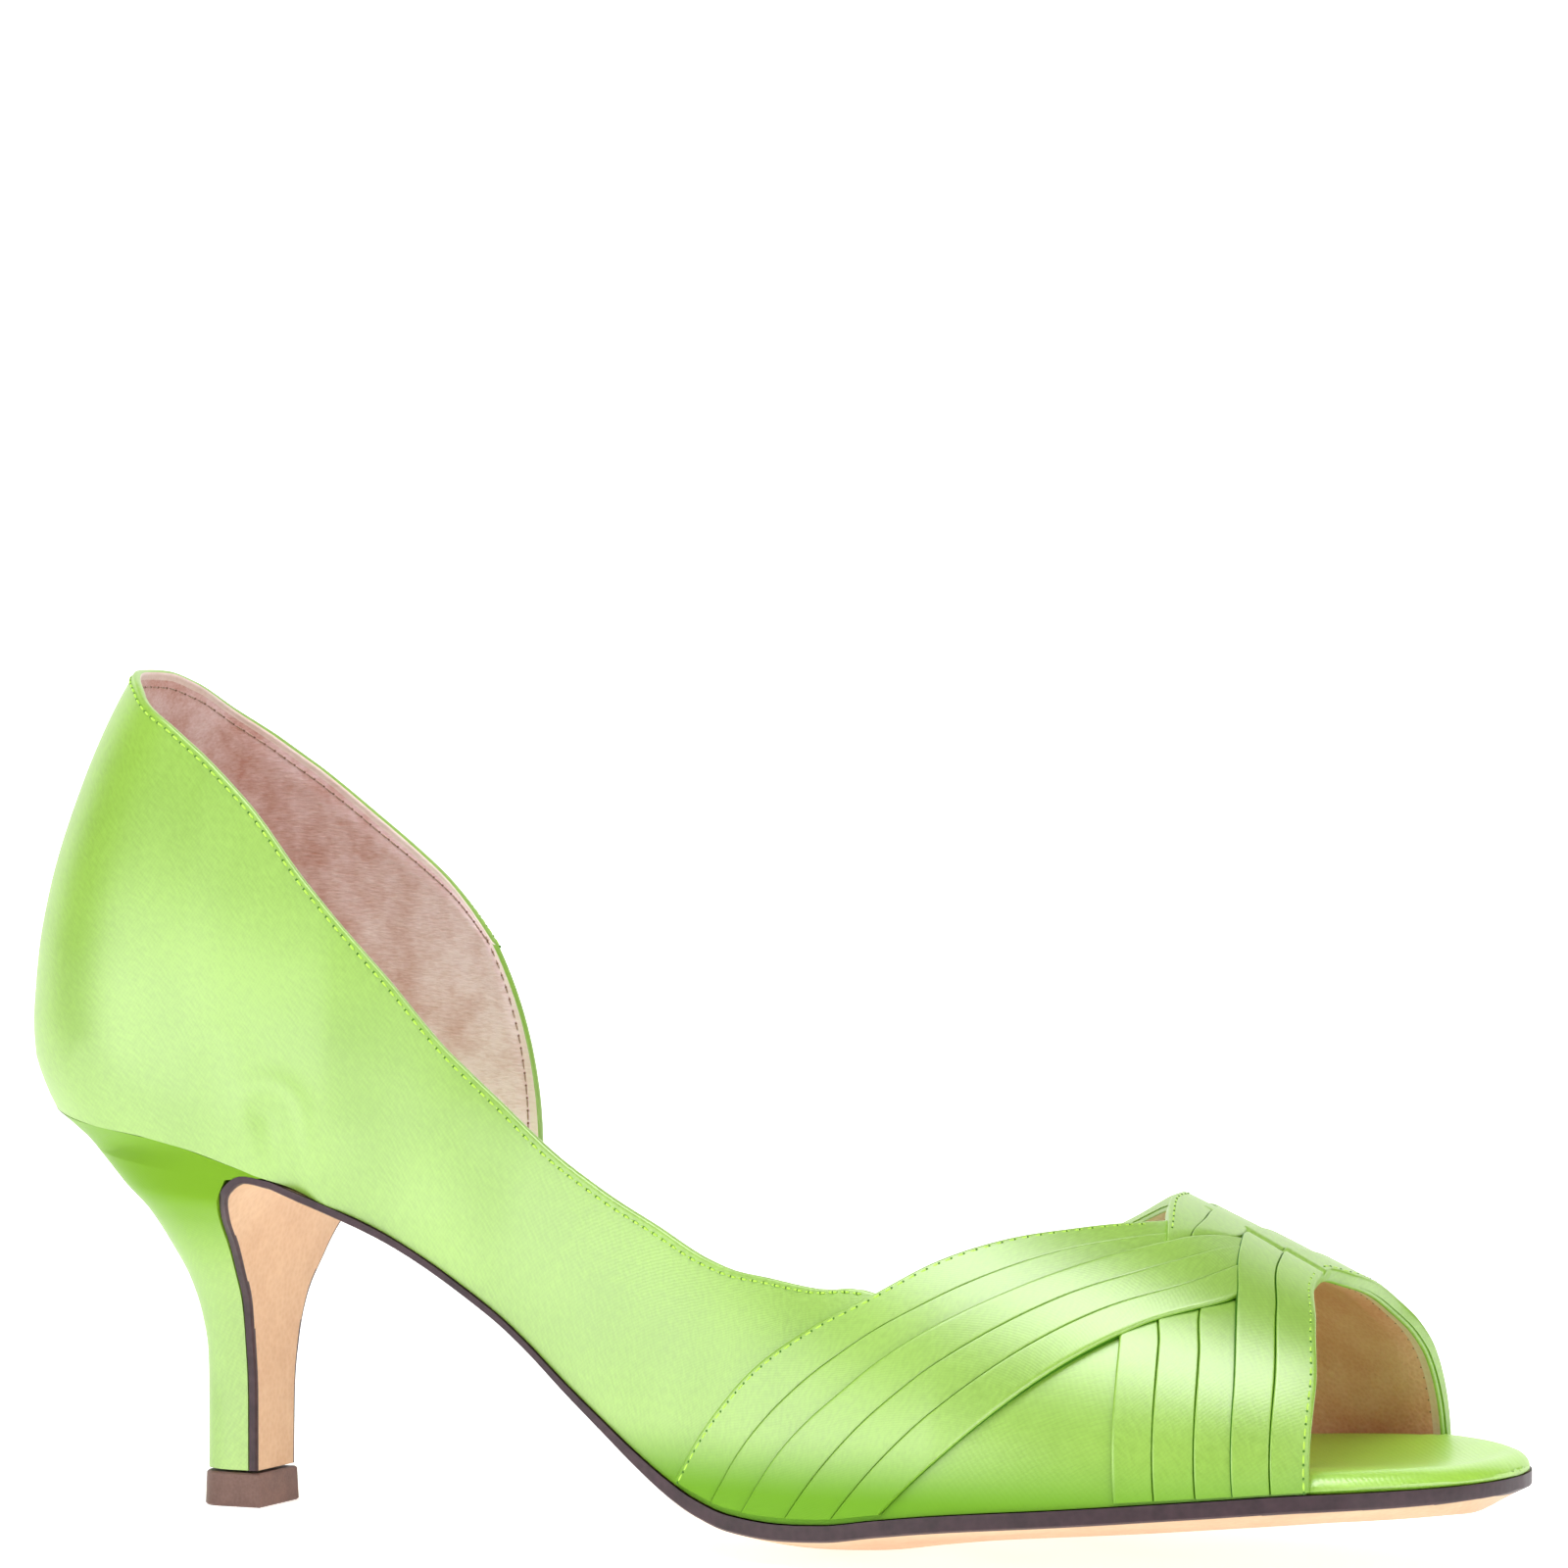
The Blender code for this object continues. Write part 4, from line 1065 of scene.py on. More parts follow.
@dataclass(frozen=True)
class PleatedBand:
    """One band of the weave: pleated strips side by side, each lapped over the one behind it."""

    name: str
    rear: tuple
    front: tuple
    first: tuple[float, float]
    last: tuple[float, float]
    strips: int
    lift: tuple
    tuck: float = 0.0
    free_rear: bool = False
    free_front: bool = False
    # Painted shade: darker faces beside the rear and the front edge where the band runs into its neighbour
    shaded_edges: tuple[bool, bool] = (False, False)
    bow: float = 0.0
    shingle: float = 0.16 * MM
    groove: float = 0.55 * MM
    edge_round: float = 0.50 * MM
    fold_round: float = 0.30 * MM
    sink: float = 0.30 * MM

    def shares(self) -> np.ndarray:
        """Places across the band, close together beside each fold."""
        places = [(k + part) / self.strips for k in range(self.strips) for part in STRIP_PLACES]
        return np.array(places + [1.0])

    def place(self, share: np.ndarray, t: np.ndarray) -> tuple[np.ndarray, np.ndarray]:
        """Places on the last.

        Args:
            share: Shares across the band, from its rear edge.
            t: Shares along the band, from its outer end.

        Returns:
            Stations by reach, and rises in degrees.
        """
        start = mix(self.first[0], self.first[1], share)
        end = mix(self.last[0], self.last[1], share) + 4.0 * self.bow * share * (1.0 - share)
        rise = mix(start, end, t)
        s = mix(Curve(self.rear)(rise), Curve(self.front)(rise) + self.tuck, share)
        return s, rise

    def surface(self, steps: int) -> tuple[np.ndarray, np.ndarray]:
        """Shape the band.

        Args:
            steps: Number of rows along it.

        Returns:
            Its raised face and its underside, along by across.
        """
        share, t = np.meshgrid(self.shares(), np.linspace(0.0, 1.0, steps))
        s, rise = self.place(share, t)
        ground = LAST.side(s, rise)
        normal = LAST.normal(s, rise)
        width = run_along(ground, 1)[:, -1:] / self.strips
        x = share * self.strips
        x = x - np.clip(np.floor(x), 0, self.strips - 1)
        from_rear, to_front = x * width, (1.0 - x) * width
        height = Curve(self.lift)(t) * MM + self.shingle * (1.0 - 2.0 * x)
        outer_rear = share * self.strips < 1.0
        outer_front = share * self.strips > self.strips - 1.0 - 1e-9

        def rounding(distance: np.ndarray, radius: float, depth: float) -> np.ndarray:
            """How far the face falls away beside an edge or a fold."""
            f = np.clip(1.0 - distance / radius, 0.0, 1.0)
            return depth * (1.0 - np.sqrt(np.clip(1.0 - f * f, 0.0, 1.0)))

        edge = np.where(outer_rear, rounding(from_rear, self.edge_round, self.edge_round),
                        rounding(from_rear, self.fold_round, self.groove))
        far = np.where(outer_front, rounding(to_front, self.edge_round, self.edge_round),
                       rounding(to_front, self.fold_round * 0.7, self.groove))
        top = ground + normal * (height - edge - far)[..., None]
        return top, ground - normal * self.sink

    def build(self, satin: bpy.types.Material,
              fold_shade: bpy.types.Material) -> tuple[bpy.types.Object, np.ndarray]:
        """Build the band.

        Args:
            satin: Finish of the strips.
            fold_shade: Painted shade in the grooves between them and along their tucked edges.

        Returns:
            The object, and its raised face for the seams.
        """
        length = abs(self.last[0] - self.first[0])
        steps = max(int(length * 1.1), 24)
        top, under = self.surface(steps)
        loops = np.concatenate([top, under[:, ::-1]], axis=1)
        ends = (loops + loops[:, ::-1]) / 2
        loops = np.concatenate([ends[:1], loops, ends[-1:]])
        u = run_along(loops, 0).mean(axis=1, keepdims=True)
        v = run_along(loops, 1)
        cloth = np.stack(np.broadcast_arrays(u, v), axis=-1)
        # Painted shade: the darker satin lines each groove, the side walls tucked under a neighbour and the
        # faces beside the shaded edges
        marks = np.zeros((len(loops) - 1, loops.shape[1]), int)
        for fold in range(1, self.strips):
            at = fold * len(STRIP_PLACES)
            marks[:, at - 1:at + 1] = 1
        across = top.shape[1]
        marks[:, across - 1] = 0 if self.free_front else 1
        marks[:, -1] = 0 if self.free_rear else 1
        if self.shaded_edges[0]:
            marks[:, 0:2] = 1
        if self.shaded_edges[1]:
            marks[:, across - 3:across - 1] = 1
        piece = PieceMesh("band_" + self.name, [satin, fold_shade])
        piece.add_loops(loops, cloth, marks)
        return declare(piece.make(50.0), "lime_satin", "upper"), top


BANDS = (
    PleatedBand("outer_rear", L0, L2, (0.8, 0.8), (84.0, 81.0), 2,
                ((0.0, 0.75), (0.85, 0.80), (1.0, 0.55)), 0.006, free_rear=True, shaded_edges=(False, True)),
    PleatedBand("outer_front", L2, L5, (0.8, 0.8), (88.0, 62.5), 3,
                ((0.0, 0.90), (0.25, 1.20), (0.60, 1.50), (0.96, 1.50), (0.985, 1.20), (1.0, 0.60)),
                shaded_edges=(True, False), bow=4.5),
    PleatedBand("crossed_low", M0, M3, (0.8, 0.8), (43.0, 61.5), 3,
                ((0.0, 0.75), (0.85, 0.70), (1.0, 0.45)), 0.004, shaded_edges=(False, True)),
    PleatedBand("toe", M3, M5, (0.8, 0.8), (89.0, 86.0), 2,
                ((0.0, 0.90), (0.35, 1.25), (0.65, 1.60), (0.90, 1.75), (0.96, 1.65), (0.985, 1.20),
                 (1.0, 0.60)),
                free_front=True, shaded_edges=(True, False)),
    PleatedBand("throat", M0, M2, (63.5, 77.0), (179.2, 179.2), 2,
                ((0.0, 0.85), (0.025, 1.40), (0.055, 1.60), (0.35, 1.55), (0.6, 1.0), (1.0, 0.75)),
                free_rear=True),
    PleatedBand("inner_front", L0, M5, (90.5, 84.5), (179.2, 179.2), 3,
                ((0.0, 0.60), (0.022, 1.45), (0.3, 1.45), (1.0, 0.95)), free_front=True),
    PleatedBand("inner_rear", INNER_UNDER, INNER_FAR, (112.0, 140.0), (179.0, 179.0), 3,
                ((0.0, 0.45), (0.2, 0.70), (1.0, 0.65))),
)


# Depth of the sole's belly under the tread, and the run over which it fades at the tip
BELLY = 4.5 * MM
BELLY_FADE = 6.0 * MM


def sole_belly(s: np.ndarray, q: np.ndarray) -> np.ndarray:
    """Depth of the sole's belly, none at the tip.

    Args:
        s: Stations by reach.
        q: Shares across, -1 to 1.

    Returns:
        Depths in metres.
    """
    tip = np.clip((LAST.tip - s) * LAST.reach / BELLY_FADE, 0.0, 1.0)
    return BELLY * Curve(SOLE_SHEET, 2)(s) * (1.0 - q * q) * tip


def toe_stations(first: float, count: int, spread: int) -> np.ndarray:
    """Stations from the round tip backward, close together at the tip.

    Args:
        first: The rearmost station.
        count: Number of stations round the tip.
        spread: Number of stations behind the ball.

    Returns:
        Stations by reach.
    """
    round_toe = mix(LAST.ball, LAST.tip, np.sin(np.linspace(math.pi / 2, 0.0, count)))
    return np.concatenate([round_toe[:-1], np.linspace(LAST.ball, first, spread)])


@dataclass(frozen=True)
class Insole:
    """Board wrapped in satin, its rim rolled where the toe and the waist leave it open."""

    rise: float = 3.9 * MM
    wall: float = 1.8 * MM
    inset: float = 0.45 * MM
    gap: float = 0.3 * MM
    rim: float = 3.0 * MM
    rim_drop: float = 2.3 * MM
    slope: float = 9.0 * MM
    slope_drop: float = 1.3 * MM
    peep: float = 0.910
    peep_ahead: float = 0.014
    waist_front: float = 0.1955
    waist_back: float = 0.425
    ease: float = 0.012

    def edge_inset(self, s: np.ndarray, side: np.ndarray) -> np.ndarray:
        """How far the rim stays inside the feather line.

        Args:
            s: Stations by reach.
            side: -1 for the outer side, +1 for the inner side.

        Returns:
            Insets in metres, least where the rim is open to view.
        """
        toe = np.clip((s - self.peep + self.peep_ahead) / self.ease, 0.0, 1.0)
        opens = np.clip((s - self.waist_front + self.ease / 2.0) / self.ease, 0.0, 1.0)
        closes = np.clip((self.waist_back - s) / self.ease, 0.0, 1.0)
        share = np.where(side > 0, np.maximum(toe, opens * closes), toe)
        return mix(self.wall + self.inset, self.gap, smooth_share(share))

    def half(self, s: np.ndarray, side: np.ndarray) -> np.ndarray:
        """Half width of the insole.

        Args:
            s: Stations by reach.
            side: -1 for the outer side, +1 for the inner side.

        Returns:
            Half widths in metres.
        """
        step = 0.002
        ahead, behind = LAST.half_width(s + step, side), LAST.half_width(s - step, side)
        run = (ahead - behind) / (2.0 * step * LAST.reach)
        slant = np.sqrt(1.0 + run * run)
        wide = LAST.half_width(s, side) - self.edge_inset(s, side) * slant
        radius = WIDTHS[0][1] * LAST.half_ball - self.wall - self.inset
        back = np.clip(LAST.heel_centre - s, 0.0, None) * LAST.reach
        return np.where(s < LAST.heel_centre, np.sqrt(np.clip(radius ** 2 - back ** 2, 0.0, None)),
                        np.clip(wide, 0.0, None))

    def build(self, satin: bpy.types.Material) -> bpy.types.Object:
        """Build the insole.

        Args:
            satin: Its finish.

        Returns:
            The object.
        """
        tip = LAST.tip - self.gap / LAST.reach
        radius = WIDTHS[0][1] * LAST.half_ball - self.wall - self.inset
        back = LAST.heel_centre - radius / LAST.reach
        round_toe = mix(0.90, tip, np.sin(np.linspace(math.pi / 2, 0.0, 40)))
        middle = np.linspace(0.90, LAST.heel_centre, 190)[1:]
        round_heel = mix(LAST.heel_centre, back, np.sin(np.linspace(0.0, math.pi / 2, 26)[1:]))
        s = np.concatenate([round_toe, middle, round_heel])
        q = np.sin(np.linspace(-math.pi / 2, math.pi / 2, 61))
        sg, qg = np.meshgrid(s, q, indexing="ij")
        side = np.where(qg < 0, -1.0, 1.0)
        half = self.half(sg, side)
        half[0], half[-1] = 0.0, 0.0
        y = LAST.axis(sg) + qg * half
        ring, close = np.arange(len(s)), np.linspace(0.0, len(s) - 1.0, 8 * len(s))
        rim_line = np.concatenate([
            np.stack([np.interp(close, ring, s * LAST.reach),
                      np.interp(close, ring, LAST.axis(s) + way * half[:, edge])], axis=-1)
            for way, edge in ((-1.0, 0), (1.0, -1))])
        flat = np.stack([sg * LAST.reach, y], axis=-1)
        distance = np.empty(sg.shape)
        for i in range(len(s)):
            apart = np.linalg.norm(flat[i][:, None, :] - rim_line[None, :, :], axis=-1)
            distance[i] = apart.min(axis=1)
        distance[:, 0], distance[:, -1] = 0.0, 0.0
        belly = sole_belly(sg, qg)
        crest = LAST.feather(sg, qg) + self.rise - belly * 0.55
        floor = LAST.feather(sg, qg) - belly + 0.05 * MM
        f = np.clip(1.0 - distance / self.rim, 0.0, 1.0)
        roll = self.rim_drop * (1.0 - np.sqrt(np.clip(1.0 - f * f, 0.0, 1.0)))
        roll = roll + self.slope_drop * np.clip(1.0 - distance / self.slope, 0.0, 1.0) ** 2
        top = np.dstack([flat, crest - roll])
        tuck = 0.35 * MM * np.sign(qg) * (np.abs(qg) > 0.999)
        bottom = np.dstack([flat[..., 0], flat[..., 1] - tuck, floor])
        loops = np.concatenate([top, bottom[:, ::-1]], axis=1)
        cloth = loops[..., :2] + loops[..., 2:] * np.array([0.0, 1.0])
        piece = PieceMesh("insole_satin", [satin])
        piece.add_loops(loops, cloth, np.zeros((len(loops) - 1, loops.shape[1]), int))
        return declare(piece.make(50.0), "lime_satin_insole", "insole")


@dataclass(frozen=True)
class Outsole:
    """Leather sole sheet: tan face below, dyed edge, turned down the heel breast."""

    thick: float = 2.3 * MM
    welt: float = 0.6 * MM
    gap: float = 0.12 * MM
    toe_welt: float = 0.2 * MM
    bevel: float = 0.35 * MM
    edge_line: float = 0.9 * MM
    toe_from: float = 0.93
    toe_over: float = 0.05
    dish: float = 0.45 * MM
    inner_share: float = 0.945

    def build(self, tan: bpy.types.Material, edge: bpy.types.Material) -> bpy.types.Object:
        """Build the sole sheet.

        Args:
            tan: Finish of its two faces.
            edge: Finish of its dyed edge.

        Returns:
            The object.
        """
        q = np.sin(np.linspace(-math.pi / 2, math.pi / 2, 41))
        q = np.sort(np.concatenate([q, [-0.985, -0.965, 0.965, 0.985]]))
        s = toe_stations(0.120, 46, 120)
        sheet = self.thick * Curve(SOLE_SHEET, 1)(s)
        welt = mix(self.welt, self.toe_welt, smooth_share((s - self.toe_from) / self.toe_over))
        half = {side: LAST.half_width(s, side) + welt for side in (-1.0, 1.0)}
        rows_top, rows_low, edge_gap = [], [], []
        for i, station in enumerate(s):
            wide = np.where(q < 0, half[-1.0][i], half[1.0][i]) * (0.0 if i == 0 else 1.0)
            x = station * LAST.reach + (self.toe_welt if i == 0 else 0.0)
            y = LAST.axis(station) + q * wide
            z = LAST.feather(station, q) - sole_belly(station, q) - self.gap
            rows_top.append(np.stack([np.full_like(y, x), y, z], axis=-1))
            low = np.clip(z - sheet[i], 0.0, None)
            rows_low.append(np.stack([np.full_like(y, x), y, low], axis=-1))
            from_side, from_tip = np.abs(wide) * (1.0 - np.abs(q)), abs(s[0] - station) * LAST.reach
            edge_gap.append(np.minimum(from_side, from_tip))
        turn = np.linspace(0.0, len(BREAST_TURN) - 1.0, 60)
        order = tuple((float(k), *row) for k, row in enumerate(BREAST_TURN))
        thin = SOLE_SHEET[0][1] * self.thick
        for k in turn:
            x, z, angle, wide = (float(Curve(order, c)(k)) for c in (1, 2, 3, 4))
            a = math.radians(angle)
            normal = np.array([-math.sin(a), 0.0, math.cos(a)])
            lift = self.dish * math.cos(a) * q * q
            inner = mix(self.inner_share, 1.0, min(k / 4.0, 1.0))
            y = q * wide * LAST.half_ball * np.where(q > 0.0, inner, 1.0)
            height = np.full_like(y, z * LAST.heel_height)
            line = np.stack([np.full_like(y, x * LAST.reach), y, height], axis=-1)
            line = line + normal * lift[:, None]
            rows_top.append(line)
            rows_low.append(line - normal * thin)
            edge_gap.append(wide * LAST.half_ball * (1.0 - np.abs(q)))
        top, low = np.array(rows_top), np.array(rows_low)
        gaps = np.array(edge_gap)
        chamfer = self.bevel * np.clip(1.0 - gaps / self.bevel, 0.0, 1.0)
        way = Wall.unit(top - low)
        low = low + way * chamfer[..., None] * 0.6
        loops = np.concatenate([top, low[:, ::-1]], axis=1)
        last = (loops[-1:] + loops[-1:, ::-1]) / 2
        loops = np.concatenate([loops, last])
        n = len(q)
        marks = np.zeros((len(loops) - 1, 2 * n), int)
        marks[:, n - 1], marks[:, -1] = 1, 1
        dyed = (gaps < self.edge_line)[:, ::-1]
        marks[:-1, n:2 * n - 1] = (dyed[:-1, 1:] & dyed[:-1, :-1]).astype(int)[:len(loops) - 2]
        welt_face = gaps < self.edge_line
        marks[:-1, :n - 1] = (welt_face[:-1, 1:] | welt_face[:-1, :-1]).astype(int)[:len(loops) - 2]
        marks[-1] = 1
        cloth = loops[..., :2]
        piece = PieceMesh("outsole_leather", [tan, edge])
        piece.add_loops(loops, cloth, marks)
        return declare(piece.make(40.0), "tan_sole_leather", "outsole")


@dataclass(frozen=True)
class Heel:
    """Heel block covered in satin, waisted to a slim stem, cut hollow for the sole's flap."""

    gap: float = 0.06 * MM
    breast: float = 0.088
    stem_squareness: float = 2.7
    seat_squareness: float = 2.3
    hollow_front: float = 2.5
    corner_turn: float = 45.0
    levels: int = 90
    around: int = 81

    def build(self, satin: bpy.types.Material) -> bpy.types.Object:
        """Build the covered heel.

        Args:
            satin: Its finish.

        Returns:
            The object.
        """
        order = tuple((float(k), *row) for k, row in enumerate(HEEL_SECTIONS))
        lines = [Curve(order, c) for c in range(1, 7)]
        angle = np.linspace(-math.pi / 2, math.pi / 2, self.around)
        rings = []
        for k in np.linspace(0.0, len(HEEL_SECTIONS) - 1.0, self.levels):
            fx, fz, rx, rz, half_front, half_full = (float(line(k)) for line in lines)
            power = mix(self.stem_squareness, self.seat_squareness, k / len(HEEL_SECTIONS))
            back = np.abs(np.cos(angle)) ** (2.0 / power)
            side = np.sign(angle) * np.abs(np.sin(angle)) ** (2.0 / power)
            hollow = np.minimum(back * self.hollow_front, 1.0)
            half = mix(half_front, half_full, hollow) * LAST.half_ball
            rings.append(np.stack([mix(fx, rx, back) * LAST.reach, side * half,
                                   mix(fz, rz, back) * LAST.heel_height], axis=-1))
        radius = WIDTHS[0][1] * LAST.half_ball - self.gap / 2
        degrees = np.degrees(angle)
        outer = np.abs(degrees) > self.corner_turn
        share = np.clip(np.abs(degrees) / self.corner_turn - 1.0, 0.0, 1.0)
        s = mix(LAST.heel_centre, self.breast, share)
        side = np.where(degrees < 0, -1.0, 1.0)
        b = np.radians(90.0 / self.corner_turn * degrees)
        x = np.where(outer, s * LAST.reach, LAST.heel_centre * LAST.reach - radius * np.cos(b))
        y = np.where(outer, side * (LAST.half_width(s, side) - self.gap / 2), radius * np.sin(b))
        seat = np.stack([x, y, LAST.feather(x / LAST.reach, y / radius) - self.gap], axis=-1)
        for t in (0.35, 0.7, 0.92):
            rings.append(mix(rings[self.levels - 1], seat, t))
        rings.append(seat)
        loops = np.array(rings)
        ends = (loops + loops[:, ::-1]) / 2
        loops = np.concatenate([ends[:1], loops, ends[-1:]])
        cloth = np.stack([run_along(loops, 1), run_along(loops, 0).mean(axis=1, keepdims=True)
                          + 0.0 * loops[..., 0]], axis=-1)
        piece = PieceMesh("heel_satin", [satin])
        piece.add_loops(loops, cloth, np.zeros((len(loops) - 1, loops.shape[1]), int))
        return declare(piece.make(45.0), "lime_satin_heel", "heel")


@dataclass(frozen=True)
class TopLift:
    """Moulded top lift under the heel, D shaped and flared a little to the floor."""

    height: float = 5.1 * MM
    length: float = 10.6 * MM
    width: float = 12.4 * MM
    corner: float = 3.6 * MM
    ahead: float = 1.3 * MM
    narrowing: float = 0.965
    soft: float = 0.25 * MM

    def build(self, plastic: bpy.types.Material) -> bpy.types.Object:
        """Build the top lift.

        Args:
            plastic: Its finish.

        Returns:
            The object.
        """
        half_l, half_w = self.length / 2, self.width / 2
        outline = [(half_l, -half_w), (half_l, half_w)]
        inset = self.corner
        for side, start in ((1.0, 90.0), (-1.0, 180.0)):
            for k in range(13):
                a = math.radians(start + 7.5 * k)
                cx, cy = -half_l + inset, side * (half_w - inset)
                outline.append((cx + inset * math.cos(a), cy + inset * math.sin(a)))
        profile = ((0.0, 0.0), (0.0, 1.0), (self.soft, 1.0), (self.height - self.soft, 1.0),
                   (self.height, 1.0), (self.height, 0.0))
        rings = []
        for k, (z, spread) in enumerate(profile):
            pull = self.soft if k in (1, 4) else 0.0
            size = mix(1.0, self.narrowing, z / self.height) * spread
            rings.append([(x * size * (1.0 - pull / half_l), y * size * (1.0 - pull / half_w), z)
                          for x, y in outline])
        loops = np.array(rings) + np.array([self.ahead, 0.0, 0.0])
        piece = PieceMesh("top_lift_plastic", [plastic])
        piece.add_loops(loops, loops[..., :2], np.zeros((len(loops) - 1, loops.shape[1]), int))
        return declare(piece.make(35.0), "brown_lift_plastic", "top_lift")


class StitchPart(Enum):
    """What a seam's repeat shows: the thread's rounds, or dots of painted shade for the needle holes
    between them.
    """

    THREAD = "thread"
    HOLE = "hole"


@dataclass(frozen=True)
class Seam:
    """Lockstitch sewn along paths on the shoe, made by Geometry Nodes."""

    name: str
    part: StitchPart
    pitch: float = 1.85 * MM
    fill: float = 0.80
    radius: float = 0.17 * MM

    def tree(self, finish: bpy.types.Material) -> bpy.types.NodeTree:
        """Build the node tree: evenly spaced points, a small rounded form on each, along the path.

        Args:
            finish: Material of the rounded forms.

        Returns:
            The tree.
        """
        tree = bpy.data.node_groups.new(self.name, "GeometryNodeTree")
        face = tree.interface
        face.new_socket("Geometry", in_out="INPUT", socket_type="NodeSocketGeometry")
        for label in ("Pitch", "Length", "Radius", "Start"):
            face.new_socket(label, in_out="INPUT", socket_type="NodeSocketFloat")
        face.new_socket("Geometry", in_out="OUTPUT", socket_type="NodeSocketGeometry")
        given = add_node(tree, "NodeGroupInput")
        trimmed = add_node(tree, "GeometryNodeTrimCurve", {"mode": "LENGTH"},
                           {"Curve": given.outputs["Geometry"]})
        lengths = [socket for socket in trimmed.inputs if socket.enabled and socket.name == "Start"]
        tree.links.new(given.outputs["Start"], lengths[-1])
        ends = [socket for socket in trimmed.inputs if socket.enabled and socket.name == "End"]
        ends[-1].default_value = 10.0
        spaced = add_node(tree, "GeometryNodeResampleCurve", {"mode": "LENGTH"},
                          {"Curve": trimmed.outputs["Curve"], "Length": given.outputs["Pitch"]})
        rounds = 8 if self.part is StitchPart.THREAD else 6
        ball = add_node(tree, "GeometryNodeMeshUVSphere", {"Segments": rounds, "Rings": 6, "Radius": 1.0})
        size = add_node(tree, "ShaderNodeCombineXYZ", None,
                        {"X": given.outputs["Length"], "Y": given.outputs["Radius"],
                         "Z": given.outputs["Radius"]})
        tangent = add_node(tree, "GeometryNodeInputTangent")
        turned = add_node(tree, "FunctionNodeAlignRotationToVector", {"axis": "X"},
                          {"Vector": tangent.outputs["Tangent"]})
        placed = add_node(tree, "GeometryNodeInstanceOnPoints", None,
                          {"Points": spaced.outputs["Curve"], "Instance": ball.outputs["Mesh"],
                           "Rotation": turned.outputs["Rotation"], "Scale": size.outputs["Vector"]})
        real = add_node(tree, "GeometryNodeRealizeInstances", None,
                        {"Geometry": placed.outputs["Instances"]})
        smooth = add_node(tree, "GeometryNodeSetShadeSmooth", None, {"Geometry": real.outputs["Geometry"]})
        coloured = add_node(tree, "GeometryNodeSetMaterial", {"Material": finish},
                            {"Geometry": smooth.outputs["Geometry"]})
        add_node(tree, "NodeGroupOutput", None, {"Geometry": coloured.outputs["Geometry"]})
        return tree

    def build(self, paths: list[np.ndarray], finish: bpy.types.Material, slot: str) -> bpy.types.Object:
        """Sew the seam.

        Args:
            paths: Lines of points on the shoe.
            finish: Material of the thread, or the painted shade of the holes.
            slot: Passed on to declare, which does not use it.

        Returns:
            The seam as one plain mesh.
        """
        curve = bpy.data.curves.new(self.name + "_path", "CURVE")
        curve.dimensions = "3D"
        for path in paths:
            spline = curve.splines.new("POLY")
            spline.points.add(len(path) - 1)
            spline.points.foreach_set("co", np.column_stack([path, np.ones(len(path))]).ravel())
        holder = bpy.data.objects.new(self.name + "_path", curve)
        bpy.context.scene.collection.objects.link(holder)
        tree = self.tree(finish)
        modifier = holder.modifiers.new(self.name, "NODES")
        modifier.node_group = tree
        is_thread = self.part is StitchPart.THREAD
        sizes = {"Pitch": self.pitch, "Radius": self.radius,
                 "Length": self.pitch * self.fill / 2 if is_thread else self.radius * 1.25,
                 "Start": self.pitch / 2 if is_thread else 0.0}
        for item in tree.interface.items_tree:
            if item.item_type == "SOCKET" and item.name in sizes:
                modifier[item.identifier] = float(sizes[item.name])
        graph = bpy.context.evaluated_depsgraph_get()
        mesh = bpy.data.meshes.new_from_object(holder.evaluated_get(graph))
        mesh.name = self.name
        bpy.data.objects.remove(holder)
        obj = bpy.data.objects.new(self.name, mesh)
        bpy.context.scene.collection.objects.link(obj)
        return declare(obj, slot)


def inside_edge(grid: np.ndarray, distance: float, proud: float) -> np.ndarray:
    """Line on a grid at a distance inside its last level.

    Args:
        grid: Points, columns by levels, the edge at the last level.
        distance: How far inside the edge, in metres.
        proud: How far out of the surface, in metres.

    Returns:
        One point for each column.
    """
    back = run_along(grid[:, ::-1], 1)
    normal = grid_normals(grid)[:, ::-1]
    flipped = grid[:, ::-1]
    line = []
    for i in range(len(grid)):
        at = [np.interp(distance, back[i], flipped[i, :, axis]) for axis in range(3)]
        n = np.array([np.interp(distance, back[i], normal[i, :, axis]) for axis in range(3)])
        line.append(np.array(at) + n / max(np.linalg.norm(n), 1e-9) * proud)
    return np.array(line)


